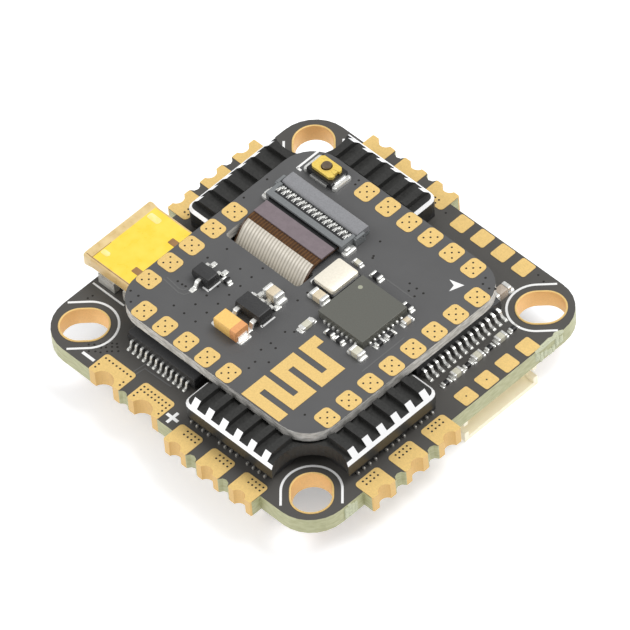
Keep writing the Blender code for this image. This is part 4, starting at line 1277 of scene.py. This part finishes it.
def smooth_route(points, steps=5):
    """A curve through the points (Catmull-Rom)."""
    padded = [points[0], *points, points[-1]]
    route = []
    for a, b, c, d in zip(padded, padded[1:], padded[2:], padded[3:]):
        for i in range(steps):
            t = i / steps
            route.append(tuple(
                0.5 * (2 * q + (r - p) * t + (2 * p - 5 * q + 4 * r - s) * t ** 2
                       + (3 * q - p - 3 * r + s) * t ** 3)
                for p, q, r, s in zip(a, b, c, d)))
    route.append(points[-1])
    return route


def strip(bm, route, x0, x1, low, high, mat=0):
    """A layer of the flat cable between two heights over its centre line."""
    rings = []
    for i, (y, z) in enumerate(route):
        y0, z0 = route[max(i - 1, 0)]
        y1, z1 = route[min(i + 1, len(route) - 1)]
        run = math.hypot(y1 - y0, z1 - z0)
        ny, nz = (z1 - z0) / run, -(y1 - y0) / run
        over, under = (y + ny * high, z + nz * high), (y + ny * low, z + nz * low)
        rings.append([(x0, over[0] * MM, over[1] * MM), (x1, over[0] * MM, over[1] * MM),
                      (x1, under[0] * MM, under[1] * MM), (x0, under[0] * MM, under[1] * MM)])
    return skin(bm, rings, mat=mat)


def span(route, y0, y1):
    """The part of the cable's centre line between two y values, cut exactly at both."""
    def cut(y):
        for (ya, za), (yb, zb) in zip(route, route[1:]):
            if yb <= y <= ya and ya > yb:
                return (y, za + (zb - za) * (ya - y) / (ya - yb))
        return route[-1] if y < route[-1][0] else route[0]

    return [cut(y1)] + [p for p in route if y0 + 0.02 < p[0] < y1 - 0.02] + [cut(y0)]


def flat_cable():
    """Film along the whole route, stiffener at the upper end, then bare conductors."""
    low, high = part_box("flex_cable")
    route = smooth_route(CABLE_ROUTE)
    bm = bmesh.new()
    strip(bm, route, low[0], high[0], -0.09, 0.05)
    obj = piece("cable_film", bm, "flex_film", "amber", smooth=True)
    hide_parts("flex_cable")
    layers = (
        ("cable_shaded_end", 4.03, 4.75, 0.0, 0.06, 0.0, "black"),
        ("cable_stiffener", 2.57, 4.03, 0.0, 0.19, 0.02, "stiffener"),
        ("cable_conductors", -2.6, 1.8, 0.0, 0.08, 0.17, "stripes"),
    )
    for name, y0, y1, under, over, inset, finish in layers:
        x0, x1 = low[0] + inset * MM, high[0] - inset * MM
        bm = strip(bmesh.new(), span(route, y0, y1), x0, x1, under, over)
        piece(name, bm, "flex_film", finish, smooth=True)
    bm = bmesh.new()
    cover = span(route, 1.8, 2.57)
    count = 26
    pitch = (high[0] - low[0]) / count
    for i in range(count):
        x = low[0] + pitch * (i + 0.5)
        strip(bm, cover, x - pitch * 0.2, x + pitch * 0.2, 0.0, 0.065)
    piece("cable_cover_ridges", bm, "flex_film", "ridge", smooth=True)


def snap_dome():
    """The springy disc under the plunger, drawn raised; on the switch it flattens as the button goes down.
    """
    low, high, cx, cy = measured("button_dome")
    radius, thick = (high[0] - low[0]) / 2, 0.06 * MM
    rise = high[2] - low[2] - thick
    under = [(radius * r, low[2] + rise * (1 - r ** 2)) for r in (0.12, 0.3, 0.5, 0.7, 0.86, 1.0)]
    profile = [(r, z + thick) for r, z in under] + under[::-1]
    loops = [at_level(circle(r, 24, cx, cy), z) for r, z in profile]
    bm = skin(bmesh.new(), loops, closed=True)
    obj = piece("snap_dome", bm, "button_steel", "steel", smooth=True)
    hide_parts("button_dome")
    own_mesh(obj)


def button_details():
    """Pressed cover with clipped corners and a collar, and the two side terminals."""
    snap_dome()
    low, high, cx, cy = measured("button_cover")
    half_w, half_d = (high[0] - low[0]) / 2, (high[1] - low[1]) / 2
    clip, nick = 0.22 * MM, 0.12 * MM
    plate = [(-half_w, -half_d + clip), (-half_w + clip, -half_d), (half_w - clip, -half_d)]
    plate += [(half_w, -half_d + clip), (half_w, -nick * 2), (half_w - nick, -nick * 2)]
    plate += [(half_w - nick, nick * 2), (half_w, nick * 2), (half_w, half_d - clip)]
    plate += [(half_w - clip, half_d), (-half_w + clip, half_d), (-half_w, half_d - clip)]
    bm = bmesh.new()
    hole = 0.5 * MM
    corners = [(cx + x, cy + y) for x, y in plate]
    outer = []
    for (xa, ya), (xb, yb) in zip(corners, corners[1:] + corners[:1]):
        outer += [(xa + (xb - xa) * t / 10, ya + (yb - ya) * t / 10) for t in range(10)]
    ring = []
    for x, y in outer:
        angle = math.atan2(y - cy, x - cx)
        ring.append((cx + hole * math.cos(angle), cy + hole * math.sin(angle)))
    z0, z1 = low[2], high[2] - 0.06 * MM
    rims = ((ring, z0), (outer, z0), (outer, z1), (ring, z1))
    skin(bm, [at_level(points, z) for points, z in rims], closed=True)
    collar = [(0.49, z1 - 0.05 * MM), (0.49, high[2]), (0.56, high[2]), (0.64, z1 - 0.05 * MM)]
    skin(bm, [at_level(circle(r * MM, 24, cx, cy), z) for r, z in collar], closed=True)
    obj = piece("button_lid", bm, "button_brass", "brass", smooth=True)
    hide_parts("button_cover")
    base_low, base_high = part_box("button_base")
    terminals = bmesh.new()
    for x, out in ((base_low[0], -1), (base_high[0], 1)):
        bar = patch(x + out * 0.22 * MM, cy, 0.45 * MM, 2.0 * MM, 0.2 * MM, 5)
        cushion(terminals, bar, UPPER_TOP, UPPER_TOP + 0.35 * MM, 0.15 * MM)
        side = x + out * 0.08 * MM
        box(terminals, x, cy - 0.6 * MM, UPPER_TOP, side, cy + 0.6 * MM, UPPER_TOP + 0.5 * MM)
    y = base_low[1]
    x0, x1 = cx - 0.95 * MM, cx + 0.9 * MM
    box(terminals, x0, y - 0.14 * MM, UPPER_TOP, x1, y - 0.01 * MM, UPPER_TOP + 0.16 * MM)
    piece("button_terminals", terminals, "tinned_metal", "tin", smooth=True)


# ---------------------------------------------------------------- stage, light and camera

def make_stage():
    bm = bmesh.new()
    box(bm, -0.6, -0.6, -0.002, 0.6, 0.6, 0.0)
    mesh = bpy.data.meshes.new("floor")
    bm.to_mesh(mesh)
    bm.free()
    floor = add_object("floor", mesh)
    floor.data.materials.append(MATERIALS["paper"])


def area_light(name, place, target, size, power):
    lamp = bpy.data.lights.new(name, "AREA")
    lamp.shape = "DISK"
    lamp.size = size
    lamp.energy = power
    obj = add_object(name, lamp)
    obj.location = place
    obj.rotation_euler = (Vector(target) - Vector(place)).to_track_quat("-Z", "Y").to_euler()


def make_lights():
    """Even white light from all round, a wide key from behind, and true colours."""
    bpy.context.scene.view_settings.view_transform = "Standard"
    world = bpy.data.worlds.new("studio")
    world.use_nodes = True
    background = world.node_tree.nodes["Background"]
    background.inputs["Color"].default_value = WHITE
    background.inputs["Strength"].default_value = 0.55
    bpy.context.scene.world = world
    middle = (0.0, 0.0, 0.005)
    area_light("key", (0.1, 0.19, 0.38), middle, size=0.26, power=1.1)
    area_light("fill", (-0.16, -0.24, 0.25), middle, size=0.25, power=0.35)


def make_camera():
    """A long lens, looking down on the board's front corner, rolled a little."""
    azimuth, elevation, roll = math.radians(49.53), math.radians(49.42), math.radians(-5.62)
    distance = 0.8157
    target = Vector((0.035, 0.235, 4.6)) * MM
    back = Vector((math.sin(azimuth) * math.cos(elevation),
                   -math.cos(azimuth) * math.cos(elevation), math.sin(elevation)))
    right = Vector((math.cos(azimuth), math.sin(azimuth), 0.0))
    up = back.cross(right)
    across = right * math.cos(roll) + up * math.sin(roll)
    upward = up * math.cos(roll) - right * math.sin(roll)
    data = bpy.data.cameras.new("camera")
    data.sensor_width = 36.0
    data.lens = 580.3
    data.clip_start, data.clip_end = 0.05, 5.0
    camera = add_object("camera", data)
    turn = Matrix((across, upward, back)).transposed().to_4x4()
    camera.matrix_world = Matrix.Translation(target + back * distance) @ turn
    bpy.context.scene.camera = camera


def make_pads_and_printing():
    motor_pads()
    battery_pads()
    radio_board_lands()
    slot_liners()
    small_pads()
    aerial()
    radio_board_vias()
    main_board_vias()
    tracks()
    tab_remains()
    main_board_printing()
    radio_board_printing()
    underside_printing()
    underside_contacts()


def make_parts():
    pinned_chip("regulator", UPPER_TOP, "X", ((2, 1.9 * MM), (3, 0.95 * MM)), 0.4 * MM)
    pinned_chip("transistor", UPPER_TOP, "X", ((1, 0.0), (2, 1.3 * MM)), 0.32 * MM)
    pinned_chip("video_chip", MAIN_TOP, "Y", ((14, 0.65 * MM), (14, 0.65 * MM)), 0.24 * MM)
    pinned_chip("driver_chip", MAIN_TOP, "X", ((12, 0.58 * MM), (12, 0.58 * MM)), 0.2 * MM, 0.62)
    leadless_chip()
    crystal()
    tantalum()
    large_capacitor()
    small_parts()
    transistor_leads()


def make_ports():
    usb_details()
    wire_socket_details()
    flex_socket_details("upper_socket", "flex_socket_upper", -1)
    flex_socket_details("lower_socket", "flex_socket_lower", 1)
    flat_cable()
    button_details()


MATERIALS = make_materials()
make_stage()
make_lights()
make_camera()
dress_solids()
make_pads_and_printing()
make_parts()
make_ports()
